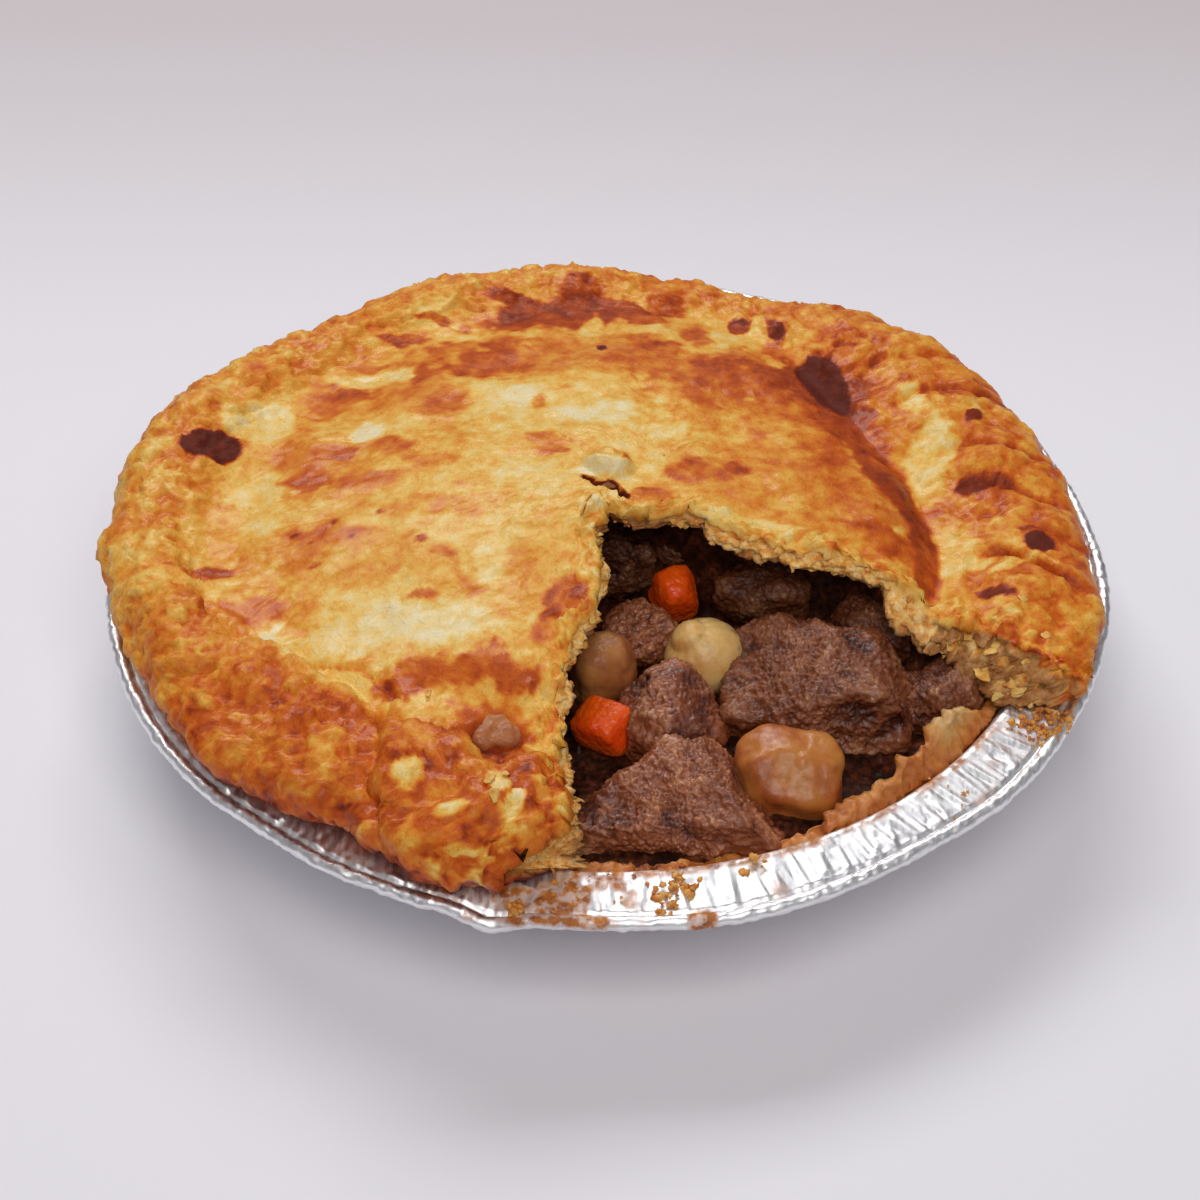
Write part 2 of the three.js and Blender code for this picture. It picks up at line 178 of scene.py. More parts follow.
def noise(points, size, seed=0):
    """Soft noise from about -1 to 1 that changes over `size` millimetres."""
    spot = np.asarray(points, float) / size
    base = np.floor(spot)
    inside = spot - base
    base = base.astype(np.int64)
    weight = inside ** 3 * (inside * (inside * 6.0 - 15.0) + 10.0)
    total = np.zeros(spot.shape[:-1])
    for corner in itertools.product((0, 1), repeat=3):
        corner = np.array(corner)
        share = np.where(corner == 1, weight, 1.0 - weight).prod(axis=-1)
        total += share * (directions(base + corner, seed) * (inside - corner)).sum(axis=-1)
    return total * 1.5


def layered(points, *layers):
    """Noise of several sizes added up. Each layer is its strength, its size and its seed."""
    return sum(strength * noise(points, size, seed) for strength, size, seed in layers)


def rough(points, size, seed):
    """Noise of three sizes, each half the last and half as strong."""
    return layered(points, (1.0, size, seed), (0.5, size / 2, seed + 31), (0.25, size / 4, seed + 62))


def cells(points, size, seed):
    """Distance to the nearest of scattered points, in cell sizes."""
    spot = np.asarray(points, float) / size
    base = np.floor(spot).astype(np.int64)
    nearest = np.full(spot.shape[:-1], 9.0)
    for step in itertools.product((-1, 0, 1), repeat=3):
        cell = base + np.array(step)
        centre = cell + 0.5 + 0.45 * directions(cell, seed)
        nearest = np.minimum(nearest, np.sqrt(((centre - spot) ** 2).sum(axis=-1)))
    return nearest


def wander(value, size, seed=0):
    """Noise along one number."""
    value = np.asarray(value, float)
    return noise(np.stack([value, np.full_like(value, 0.37 * size), np.full_like(value, 0.71 * size)],
                          axis=-1), size, seed)


# ---- meshes --------------------------------------------------------------------------------------

class Shape:
    """Points, faces and named values of one mesh, in millimetres."""

    def __init__(self):
        self.points, self.faces, self.values, self.count = [], [], {}, 0

    def add(self, points, **values):
        """Adds an array of points and returns their numbers in the same arrangement."""
        points = np.asarray(points, float)
        shape = points.shape[:-1]
        numbers = np.arange(int(np.prod(shape)), dtype=np.int64).reshape(shape) + self.count
        self.points.append(points.reshape(-1, 3))
        for name, value in values.items():
            flat = np.broadcast_to(np.asarray(value, float), shape).reshape(-1)
            self.values.setdefault(name, []).append((self.count, flat))
        self.count += numbers.size
        return numbers

    def grid(self, numbers, closed=False):
        """Quads between the rows and columns of an arrangement of points."""
        if closed:
            numbers = np.concatenate([numbers, numbers[:, :1]], axis=1)
        corners = (numbers[:-1, :-1], numbers[:-1, 1:], numbers[1:, 1:], numbers[1:, :-1])
        self.faces.append(np.stack(corners, axis=-1).reshape(-1, 4))

    def fan(self, centre, ring, closed=False):
        """Triangles from one point to a row of points."""
        ring = np.concatenate([ring, ring[:1]]) if closed else ring
        first = np.full(len(ring) - 1, centre)
        self.faces.append(np.stack([first, ring[:-1], ring[1:]], axis=-1))

    def stitch(self, one, other):
        """Triangles between two rows that have different numbers of points."""
        triangles = []
        i = j = 0
        while i < len(one) - 1 or j < len(other) - 1:
            one_share = (i + 1) / (len(one) - 1) if i < len(one) - 1 else 2.0
            other_share = (j + 1) / (len(other) - 1) if j < len(other) - 1 else 2.0
            if one_share <= other_share:
                triangles.append((one[i], one[i + 1], other[j]))
                i += 1
            else:
                triangles.append((one[i], other[j + 1], other[j]))
                j += 1
        self.faces.append(np.array(triangles, dtype=np.int64))

    def mesh(self, name):
        """The mesh in metres, with its faces turned outwards."""
        mesh = bpy.data.meshes.new(name)
        points = np.concatenate(self.points)
        faces = [block for block in self.faces if len(block)]
        corners = np.concatenate([block.reshape(-1) for block in faces])
        lengths = np.concatenate([np.full(len(block), block.shape[1]) for block in faces])
        mesh.vertices.add(len(points))
        mesh.vertices.foreach_set("co", (points * MM).reshape(-1))
        mesh.loops.add(len(corners))
        mesh.loops.foreach_set("vertex_index", corners.astype(np.int32))
        mesh.polygons.add(len(lengths))
        starts = np.concatenate([[0], np.cumsum(lengths)[:-1]])
        mesh.polygons.foreach_set("loop_start", starts.astype(np.int32))
        for value_name, blocks in self.values.items():
            full = np.zeros(len(points))
            for start, flat in blocks:
                full[start:start + len(flat)] = flat
            write_values(mesh, value_name, full)
        mesh.update(calc_edges=True)
        mesh.validate()
        turn_outwards(mesh)
        return mesh


def turn_outwards(mesh):
    work = bmesh.new()
    work.from_mesh(mesh)
    bmesh.ops.recalc_face_normals(work, faces=work.faces)
    work.to_mesh(mesh)
    work.free()
    mesh.update()


def read_points(mesh):
    points = np.empty(len(mesh.vertices) * 3)
    mesh.vertices.foreach_get("co", points)
    return points.reshape(-1, 3) / MM


def write_points(mesh, points):
    mesh.vertices.foreach_set("co", (np.asarray(points) * MM).reshape(-1))
    mesh.update()


def read_normals(mesh):
    normals = np.empty(len(mesh.vertices) * 3)
    mesh.vertex_normals.foreach_get("vector", normals)
    return normals.reshape(-1, 3)


def write_values(mesh, name, values):
    attribute = mesh.attributes.get(name) or mesh.attributes.new(name, "FLOAT", "POINT")
    attribute.data.foreach_set("value", np.asarray(values, np.float32))


def read_values(mesh, name):
    values = np.empty(len(mesh.vertices), np.float32)
    mesh.attributes[name].data.foreach_get("value", values)
    return values.astype(float)


def push(mesh, amount):
    """Moves each point along its normal by an amount in millimetres."""
    write_points(mesh, read_points(mesh) + read_normals(mesh) * np.asarray(amount)[:, None])


def finish_piece(mesh, name, material, nodes=()):
    """Makes the piece from its mesh: smooth faces, a material and its body, and hides the imported nodes it
    stands for.
    """
    mesh.name = name
    mesh.polygons.foreach_set("use_smooth", np.ones(len(mesh.polygons), bool))
    mesh.materials.clear()
    mesh.materials.append(material)
    piece = bpy.data.objects.new(name, mesh)
    bpy.context.scene.collection.objects.link(piece)
    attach(piece, BODY)
    if nodes:
        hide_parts(*nodes)
    return piece


# ---- materials -----------------------------------------------------------------------------------

def shade(red, green, blue, light=1.0):
    """A colour as it shows on screen, from 0 to 255, as the linear colour of the surface, darkened by a
    `light` below 1 as painted shade.
    """
    linear = []
    for value in (red, green, blue):
        value = value / 255.0
        linear.append(value / 12.92 if value <= 0.04045 else ((value + 0.055) / 1.055) ** 2.4)
    return tuple(min(value * light, 1.0) for value in linear)


def put(tree, socket, value):
    """Links a node's socket to another, or sets its number or colour."""
    if isinstance(value, bpy.types.NodeSocket):
        tree.links.new(value, socket)
    elif isinstance(value, tuple) and len(value) == 3 and socket.type == "RGBA":
        socket.default_value = (*value, 1.0)
    else:
        socket.default_value = value


def add_node(tree, kind, inputs=(), **settings):
    """A node with its settings, and its inputs linked or set."""
    node = tree.nodes.new(kind)
    for name, value in settings.items():
        setattr(node, name, value)
    for key, value in dict(inputs).items():
        put(tree, node.inputs[key], value)
    return node


class Finish:
    """A material and short ways to add its nodes."""

    def __init__(self, name):
        self.material = bpy.data.materials.new(name)
        self.material.use_nodes = True
        self.tree = self.material.node_tree
        self.tree.nodes.clear()
        self.surface = self.add("ShaderNodeBsdfPrincipled")
        self.add("ShaderNodeOutputMaterial", {"Surface": self.surface.outputs[0]})
        self.place = self.add("ShaderNodeTexCoord").outputs["Object"]

    def add(self, kind, inputs=(), **settings):
        return add_node(self.tree, kind, inputs, **settings)

    def set(self, **values):
        """Sets sockets of the surface shader by name, with _ for a space."""
        for name, value in values.items():
            put(self.tree, self.surface.inputs[name.replace("_", " ")], value)

    def value(self, name):
        """A named value of the mesh."""
        return self.add("ShaderNodeAttribute", attribute_name=name).outputs["Fac"]

    def stretched(self, stretch):
        """Object coordinates, each multiplied by a number."""
        return self.add("ShaderNodeMapping", {"Vector": self.place, "Scale": stretch}).outputs["Vector"]

    def noise(self, size, detail=3.0, roughness=0.55, place=None, distortion=0.0):
        """Noise from 0 to 1 whose features are about `size` millimetres."""
        return self.add("ShaderNodeTexNoise", {
            "Vector": place or self.place, "Scale": 1.0 / (size * MM), "Detail": detail,
            "Roughness": roughness, "Distortion": distortion}).outputs["Fac"]

    def sum(self, kind, one, other):
        """The arithmetic of two numbers."""
        return self.add("ShaderNodeMath", {0: one, 1: other}, operation=kind).outputs[0]

    def fit(self, value, low, high, to_low=0.0, to_high=1.0, soft=True):
        """Fits a number from one range to another, held at its ends."""
        return self.add("ShaderNodeMapRange", enumerate((value, low, high, to_low, to_high)),
                        interpolation_type="SMOOTHSTEP" if soft else "LINEAR").outputs[0]

    def mix(self, share, one, other):
        """A colour between two others."""
        return self.add("ShaderNodeMix", {"Factor": share, 6: one, 7: other}, data_type="RGBA").outputs[2]

    def ramp(self, share, stops):
        """A colour from a list of (place, colour)."""
        node = self.add("ShaderNodeValToRGB", {"Fac": share})
        elements = node.color_ramp.elements
        while len(elements) < len(stops):
            elements.new(0.5)
        for element, (position, colour) in zip(elements, stops):
            element.position = position
            element.color = (*colour, 1.0)
        return node.outputs["Color"]

    def bump(self, height, depth, strength):
        """A bump whose full height is `depth` millimetres."""
        return self.add("ShaderNodeBump", {"Strength": strength, "Distance": depth * MM, "Height": height}
                        ).outputs["Normal"]


# ---- what a user can change ----------------------------------------------------------------------

def length(name, description, millimetres):
    return FloatProperty(name=name, description=description, default=millimetres * MM,
                         min=0.0, unit="LENGTH", subtype="DISTANCE")


def colour(name, description, *screen):
    return FloatVectorProperty(name=name, description=description, default=shade(*screen),
                               size=3, min=0.0, max=1.0, subtype="COLOR")


class PieSizes(bpy.types.PropertyGroup):
    """Sizes of the pie's surface detail."""
    blister: length("Blisters", "Height of the blisters on the crust", 0.8)
    wave: length("Waves", "Height of the crust's long waves", 1.0)
    pleat: length("Pleats", "Depth of the pleats pinched into the rim", 1.7)
    crease: length("Creases", "Depth of the creases in the foil's flange", 0.5)
    grain: length("Meat grain", "Depth of the grain of the beef", 0.75)
    crumb: length("Crumbs", "Size of a pastry crumb", 1.0)
    seed: IntProperty(name="Seed", description="Start of every random draw", default=7, min=0)


class PieColours(bpy.types.PropertyGroup):
    """Colours of the pie."""
    pale: colour("Pale crust", "Crust that is barely baked", 238, 222, 180)
    golden: colour("Golden crust", "Crust of the usual colour", 237, 194, 100)
    brown: colour("Brown crust", "Well baked crust", 168, 64, 16)
    burnt: colour("Burnt crust", "The darkest spots", 94, 35, 26)
    gravy: colour("Gravy", "Gravy between the pieces", 58, 28, 17)
    beef: colour("Beef", "Cooked beef", 150, 84, 54)
    onion: colour("Onion", "Pearl onion", 214, 158, 88)
    potato: colour("Potato", "Stewed potato", 192, 126, 58)
    carrot: colour("Carrot", "Stewed carrot", 244, 74, 10)
    foil: colour("Foil", "Bare foil", 248, 248, 249)
    floor: colour("Floor", "Plain floor", 238, 236, 242)


# ---- pastry lid ----------------------------------------------------------------------------------

LID_COLUMNS = 640
TIP_ROWS, INNER_ROWS, OUTER_ROWS, RIM_ROWS = 36, 70, 27, 68   # the tip's are part of the inner
TIP_RISE = 1.8            # how much thinner the lid is at its middle
TIP_SHARE = 0.26          # of the groove's radius, inside which the rows are closest
INNER_SHARE = 0.68        # of the groove's radius, where the columns double
FACE_STEPS = 14           # points across the thickness of a cut face
UNDER_COLUMNS = 40
KNOB_PLACE = (0.4, 6.0)   # the pale lump behind the crack at the middle, in plan

# Where the crust is browned or pale: x, y, half length, half width, turn in
# degrees, browning from 0 to 1, softness of the edge.
BROWNED = [
    (28, 40, 25, 13, -10, 0.7, 0.8), (30, 12, 30, 20, 0, 0.5, 0.9), (46, 22, 12, 20, 0, 0.62, 0.9),
    (-8, 50, 34, 8, 4, 0.57, 0.9), (-48, 38, 16, 7, 8, 0.52, 0.9), (-58, 14, 14, 9, 0, 0.52, 0.9),
    (-58, -10, 13, 7, -5, 0.55, 0.9), (-66, -30, 10, 8, 0, 0.54, 0.9), (22, 3, 14, 6, 0, 0.5, 0.9),
    (51, 4, 9, 16, 0, 0.57, 0.9), (-2, 10, 20, 14, 0, 0.33, 0.9), (-14, 28, 18, 10, 0, 0.31, 0.9),
    (-43, -36, 21, 8, -3, 0.2, 0.7), (-25, -10, 16, 10, 0, 0.35, 0.9), (-50, 23, 3.8, 3.6, 0, 0.02, 0.5),
    (-18, 35, 5.5, 4, 20, 0.14, 0.6), (-3, 25, 8, 4, 5, 0.12, 0.6), (-45, 47, 12, 2.8, 0, 0.2, 0.6),
    (-57, 46, 5, 2, -20, 0.24, 0.6), (-72, 32, 5, 6, -10, 0.18, 0.6), (-72, 10, 6, 5, 0, 0.26, 0.8),
    (-38, 24, 7, 4, 0, 0.3, 0.8), (-22, 18, 7, 5, 0, 0.3, 0.8), (-20, 4, 7, 3.6, 0, 0.27, 0.7),
    (-13, -1, 5, 3, 0, 0.26, 0.7), (9, 63, 5, 5, 20, 0.33, 0.7), (26, 63, 2.4, 8, -38, 0.3, 0.6),
    (36, 53, 2.4, 5, 0, 0.36, 0.6), (67, 21, 4.0, 13, -14, 0.28, 0.5), (64, 41, 3.0, 6, 10, 0.36, 0.5),
    (70, -4, 3.4, 6, 0, 0.34, 0.5), (72, -10, 6, 2.4, 15, 0.27, 0.6), (-49, -37, 7, 3, 0, 0.2, 0.6),
    (-36, -37, 13, 5, -5, 0.13, 0.4), (-58, -42, 8, 3, -10, 0.27, 0.6), (-66, -33, 1.8, 5.5, -8, 0.1, 0.6),
    (-43, -24, 5, 3, 0, 0.3, 0.7), (-45, -6, 8, 3, 0, 0.3, 0.8), (-37, -79, 2.6, 3.2, 0, 0.36, 0.5),
    (30, -12, 12, 2.2, -15, 0.28, 0.6), (12, 19, 6, 3, 20, 0.27, 0.7), (-27, 48, 9.5, 6, 10, 0.72, 0.6),
    (-34, 57, 5, 4, 0, 0.68, 0.6), (-22, 57, 4.5, 5, 0, 0.7, 0.6), (-40, 46, 2.6, 5, 0, 0.67, 0.5),
    (-33, 33, 5, 5, 0, 0.62, 0.8), (-55, 41, 6.5, 3, -10, 0.7, 0.6), (-60, 36, 4, 5, 0, 0.6, 0.7),
    (-57, 18, 5, 2.6, -20, 0.72, 0.6), (-64, 21, 5, 6, 0, 0.6, 0.8), (-45, 16, 3.8, 2.8, -20, 0.67, 0.6),
    (-62, 10, 5, 3.4, -30, 0.68, 0.6), (-52, 8, 9, 3, -12, 0.62, 0.7), (-36, 10, 5, 2.6, 0, 0.6, 0.7),
    (-15, 30, 1.8, 4, 0, 0.56, 0.6), (-11, 13, 5.4, 3, -10, 0.57, 0.7), (-9, 11, 2, 1.4, 0, 0.68, 0.5),
    (11, 54, 5, 4, 0, 0.67, 0.6), (19, 61, 3, 7, 5, 0.66, 0.6), (27, 46, 7, 5, -20, 0.74, 0.7),
    (5, 48, 8, 3, 0, 0.64, 0.7), (36, 60, 3, 5, 0, 0.67, 0.6), (12, 77, 4.6, 5, 0, 0.76, 0.5),
    (3, 59, 7, 3, 0, 0.6, 0.7), (18, 31, 4.4, 2.8, -20, 0.64, 0.6), (38, 43, 14, 7, -15, 0.75, 0.6),
    (46, 16, 5, 6, 0, 0.69, 0.7), (18, 4, 6.4, 3.8, -15, 0.66, 0.6), (25, 7, 4, 2, -30, 0.68, 0.5),
    (50, -3, 9, 4, 10, 0.64, 0.7), (57, -10, 5, 5, 0, 0.7, 0.6), (9, -5, 4, 3, 0, 0.68, 0.5),
    (-4, -8.5, 2.6, 2.2, 0, 0.1, 0.4), (0.2, 2.4, 4.6, 1.7, 0, 0.12, 0.9),
    (-3.4, 4.0, 1.6, 2.4, 0, 0.1, 0.9), (0.5, 7.5, 4.2, 2.6, 0, 0.42, 0.8),
    (4.4, 5.6, 1.1, 2.2, -20, 0.62, 0.7), (40, -2, 7, 3, -10, 0.54, 0.7), (-27, -26, 2.6, 6, 6, 0.6, 0.6),
    (-37, -30, 4, 1.8, 0, 0.67, 0.5), (-32, -19, 4, 1.4, -10, 0.6, 0.6),
    (-37, -14.5, 1.4, 1.1, 0, 0.74, 0.4), (-58, -9, 8, 4, -5, 0.64, 0.7), (-58, -17, 2, 1.2, 0, 0.7, 0.5),
    (-68, -27, 5, 4, -20, 0.62, 0.7), (-78.5, -15.5, 5.8, 2.3, 24, 0.76, 0.5),
    (-87, -17, 1.6, 0.9, -10, 0.74, 0.4), (-78, -31, 7, 5, -30, 0.63, 0.8),
    (-8, -35, 4.6, 6.6, -10, 0.78, 0.4), (-12, -44, 4, 3.4, 0, 0.66, 0.6), (-2.5, -25, 1.8, 3, 0, 0.7, 0.5),
    (-26, -50, 15, 5, -4, 0.69, 0.5), (-18, -53, 5.6, 3.4, -10, 0.78, 0.45),
    (-40, -53, 4.4, 3, 10, 0.76, 0.5), (-22, -64, 8, 7, 0, 0.66, 0.6), (-19.5, -68, 6, 4.5, 0, 0.8, 0.5),
    (-35, -66, 6.5, 2.4, 10, 0.75, 0.5), (-20, -82, 2.0, 3.0, 20, 0.3, 0.3),
    (-17, -87.5, 2.0, 2.6, 0, 0.32, 0.3), (-28, -88, 3, 2, 0, 0.4, 0.6), (-75, 30, 5, 5, 0, 0.24, 0.7),
    (-69, -2, 4, 8, 10, 0.28, 0.7), (-29, -72, 2.6, 5, 15, 0.79, 0.5), (-21, -71, 3.4, 5, 5, 0.87, 0.5),
    (-22, 78, 9, 2.6, -30, 0.79, 0.4), (-14, 69, 13, 5, 0, 0.76, 0.6), (-9, 73, 17, 5.8, 2, 0.82, 0.35),
    (-6, 80, 4.6, 6, 10, 0.82, 0.35), (5, 74, 6.5, 2.8, -25, 0.79, 0.4), (7, 70, 5, 2.4, -10, 0.76, 0.5),
    (-4, 66, 2.2, 5, -12, 0.36, 0.5), (-2, 53, 0.9, 1.5, 10, 1.0, 0.3), (-45, 63, 4.4, 3, 0, 0.76, 0.5),
    (-38, 69, 3.6, 1.5, -10, 0.76, 0.5), (-52, 52, 3.4, 2, 0, 0.67, 0.6), (29, 70, 2.8, 2.6, 0, 0.93, 0.35),
    (36, 67, 2.1, 4, 8, 0.91, 0.35), (52, 62, 3.6, 5.4, 0, 0.78, 0.5), (58, 53, 2.6, 1.5, 30, 0.8, 0.5),
    (62, 47, 5.4, 1.7, 15, 0.68, 0.6), (47, 45, 14, 7.5, -75, 0.8, 0.5),
    (45.8, 46.5, 11, 4.8, -74, 1.0, 0.12), (77, 36, 2.4, 1.4, 60, 0.94, 0.35),
    (80, 12, 7, 4.6, 40, 0.77, 0.6), (75, 13, 4.6, 2.8, 35, 0.93, 0.35), (87, -4, 4.6, 4, -20, 0.8, 0.5),
    (87, -5, 3.4, 3.2, -20, 1.0, 0.14), (77, -21, 4.4, 2.3, -15, 0.92, 0.35),
    (69, 7, 4.4, 2.2, 10, 0.68, 0.6), (56, 17, 18, 4.4, -70, 0.79, 0.4), (63, -10, 12, 2.8, -86, 0.8, 0.4),
    (49, 28, 9, 5, -50, 0.76, 0.5), (80, -38, 12, 6, -30, 0.7, 0.6), (86, -41, 6, 4, -40, 0.78, 0.6),
    (-63, -8, 0.9, 0.7, 0, 0.86, 0.3), (-60, -11, 0.6, 0.5, 0, 0.84, 0.3),
    (-55, -6, 0.8, 0.6, 20, 0.86, 0.3), (-51, -12, 0.7, 0.5, 0, 0.84, 0.3),
    (-46, -4.5, 1.0, 0.7, -20, 0.84, 0.3), (-43.5, -5.5, 0.6, 0.5, 0, 0.86, 0.3),
    (81, -12, 6, 1.6, 18, 0.34, 0.5), (-36, -5, 10, 3, -10, 0.53, 0.8), (-46, -22, 9, 3, 5, 0.52, 0.8),
    (-24, -18, 5, 8, 0, 0.26, 0.7), (-82.5, 21.5, 6.8, 4.3, 8, 1.0, 0.12),
]


def dome_height(radius):
    return DOME_TOP - DOME_FALL * (radius / DOME_FALL_RADIUS) ** 2


def rim_at(azimuth):
    """Outer radius, crest height and groove radius of the crimped rim."""
    turned = np.where(azimuth < RIM[0][0], azimuth + 360.0, azimuth)
    groove = along(RIM, turned, 3) + 2.0 * wander(turned, 24.0, 31) * smooth(turned, 60.0, 90.0)
    return along(RIM, turned, 1), TIN_HEIGHT + along(RIM, turned, 2), groove


def soften_rows(rows, reach):
    """Rows smoothed along the first axis over about `reach` rows each way."""
    steps = np.arange(-2 * reach, 2 * reach + 1)
    weights = np.exp(-(steps / reach) ** 2)
    padded = np.concatenate([np.repeat(rows[:1], 2 * reach, 0), rows, np.repeat(rows[-1:], 2 * reach, 0)])
    total = sum(weight * padded[i:i + len(rows)] for i, weight in enumerate(weights))
    return total / weights.sum()


def groove_dip(radius, groove):
    return GROOVE_DEPTH * smooth(radius, groove - GROOVE_WIDTH, groove)


def lid_underside(radius, azimuth):
    """Height of the lid's underside, which lies flat on the flange past the seat."""
    groove = rim_at(azimuth)[2]
    low = dome_height(groove) - GROOVE_DEPTH - LID_THICKNESS
    inner = dome_height(radius) - groove_dip(radius, groove) - LID_THICKNESS
    outer = lerp(low, RIM_SEAT_HEIGHT, smooth(radius, groove, RIM_SEAT_RADIUS))
    return np.where(radius <= groove, inner, outer)


def lid_top(share, dome_shares, rim_shares):
    """Radius and height of the lid's upper side: a row for each part of the dome and the rim."""
    outer, crest, groove = rim_at(lerp(LID_START, LID_END, share))
    dome_radius = groove * dome_shares[:, None]
    dome_z = dome_height(dome_radius) - groove_dip(dome_radius, groove)
    middle = (groove + outer) / 2 + 1
    groove_z = dome_height(groove) - GROOVE_DEPTH
    start = np.arcsin(np.minimum((groove_z - RIM_MIDDLE) / (crest - RIM_MIDDLE), 0.9))
    angle = lerp(math.pi - start * 0.8, RIM_LAST_ANGLE, rim_shares[:, None])
    half = np.where(np.cos(angle) < 0, middle - groove, outer - middle)
    rise = np.where(np.sin(angle) > 0, crest - RIM_MIDDLE, RIM_UNDER)
    radius = np.concatenate([dome_radius, middle + half * np.cos(angle)])
    height = np.concatenate([dome_z, RIM_MIDDLE + rise * np.sin(angle)])
    from_last = len(radius) - np.arange(len(radius))[:, None]
    loose = smooth(lerp(LID_START, LID_END, share), 55.0, 85.0) * smooth(from_last, 24, 40)
    wide = loose * np.exp(-((radius - groove - 1.0) / 16.0) ** 2)
    radius, height = (lerp(rows, soften_rows(rows, 15), wide) for rows in (radius, height))
    near = 0.3 * (1.0 - loose) * np.exp(-((radius - groove) / 6.0) ** 2)
    radius, height = (lerp(rows, soften_rows(rows, 3), near) for rows in (radius, height))
    return evenly_apart(radius, height, len(dome_shares) - 1)


def evenly_apart(radius, height, first):
    """Moves the rows from `first` on along their columns until they are evenly apart."""
    for column in range(radius.shape[1]):
        out, up = radius[first:, column], height[first:, column]
        path = np.concatenate([[0.0], np.cumsum(np.hypot(np.diff(out), np.diff(up)))])
        spots = np.linspace(0.0, path[-1], len(path))
        radius[first:, column] = np.interp(spots, path, out)
        height[first:, column] = np.interp(spots, path, up)
    return radius, height


def ragged(radius, height, seed):
    """How far a torn edge strays from its line, in millimetres."""
    points = np.stack([radius, height, np.zeros_like(radius)], axis=-1)
    fade = smooth(radius, 5.0, 10.5)
    return fade * layered(points, (2.0, 9.0, seed), (1.5, 4.0, seed + 1), (1.0, 1.9, seed + 2))


def lid_azimuth(share, radius, height, ends=(RIGHT_TEAR, LEFT_TEAR)):
    """Azimuth of a place on the lid, between the two torn edges."""
    right, left = along(ends[0], radius, 1), along(ends[1], radius, 1)
    degree = np.degrees(1.0 / np.maximum(radius, 4.0))
    from_right = share * (left - right) / degree
    from_left = (1.0 - share) * (left - right) / degree
    azimuth = lerp(right, left, share)
    azimuth = azimuth + degree * ragged(radius, height, 11) * np.exp(-from_right / 4.0)
    return azimuth + degree * ragged(radius, height, 23) * np.exp(-from_left / 4.0)


def cut_face(shape, edge, under, side):
    """Points across a cut face from the top edge to the underside, torn into thin sheets.

    `edge` and `under` are rows of points, `side` is 1 for the right face and -1 for the left.
    """
    depth = np.linspace(0.0, 1.0, FACE_STEPS)[None, 1:, None]
    points = edge[:, None, :] * (1.0 - depth) + under[:, None, :] * depth
    radius = np.hypot(points[..., 0], points[..., 1])
    around = np.stack([-points[..., 1], points[..., 0], np.zeros_like(radius)], axis=-1)
    around /= np.maximum(radius, 1.0)[..., None]
    level = depth[..., 0]
    sheets = np.stack([radius * 0.4, level * 7.0 + 0.7 * noise(points, 5.0, 40), 0.0 * radius], axis=-1)
    torn = 1.6 * noise(sheets, 1.3, 41) + 1.2 * noise(sheets * (3.0, 1.0, 1.0), 1.1, 42)
    torn += layered(points, (1.2, 2.6, 43), (0.7, 1.1, 45))
    pits = -1.4 * smooth(cells(points, 2.4, 44), 0.45, 0.12)
    bold = noise(np.stack([radius, 0.0 * radius, 0.0 * radius + side], axis=-1), 8.0, 46)
    ledge = smooth(level + 0.12 * noise(points, 6.0, 47), 0.24, 0.34)
    stand_out = 0.4 + (1.5 + 3.0 * bold) * ledge - (1.6 + 2.0 * bold) * smooth(level, 0.6, 1.0)
    stand_out = stand_out * smooth(radius, 9.0, 18.0) * smooth(radius, 94.0, 78.0)
    stand_out = stand_out * (1.0 - 0.6 * smooth(radius, 42.0, 56.0) * (side > 0))
    rugged = 0.85 + 0.7 * noise(points, 9.0, 48)
    out = (rugged * (torn + pits) + stand_out - 0.5) * smooth(radius, 8.0, 13.0) * smooth(level, -0.05, 0.1)
    points = points - side * around * out[..., None]
    crumb = np.clip(0.1 + 3.6 * level + 0.35 * torn, 0.0, 1.0)
    # Painted shade: `tip` darkens the face under the top skin near the middle, and `end` darkens the right
    # face near the rim, partly as soaking; both use the soaked colour.
    tip = smooth(radius, 28.0, 17.0) * smooth(level, 0.1, 0.4)
    end = smooth(radius, 62.0, 74.0) * (side > 0) * smooth(torn + 1.2 * level, -0.4, 0.5)
    soak = np.maximum(smooth(level + 0.2 * torn, 0.6, 1.0), 0.9 * np.maximum(tip, end))
    return shape.add(points, crumb=crumb, soak=soak, face=1.0)


def tip_rise(radius):
    """How much thinner the lid is towards its middle, in millimetres."""
    return TIP_RISE * smooth(radius, 30.0, 14.0)


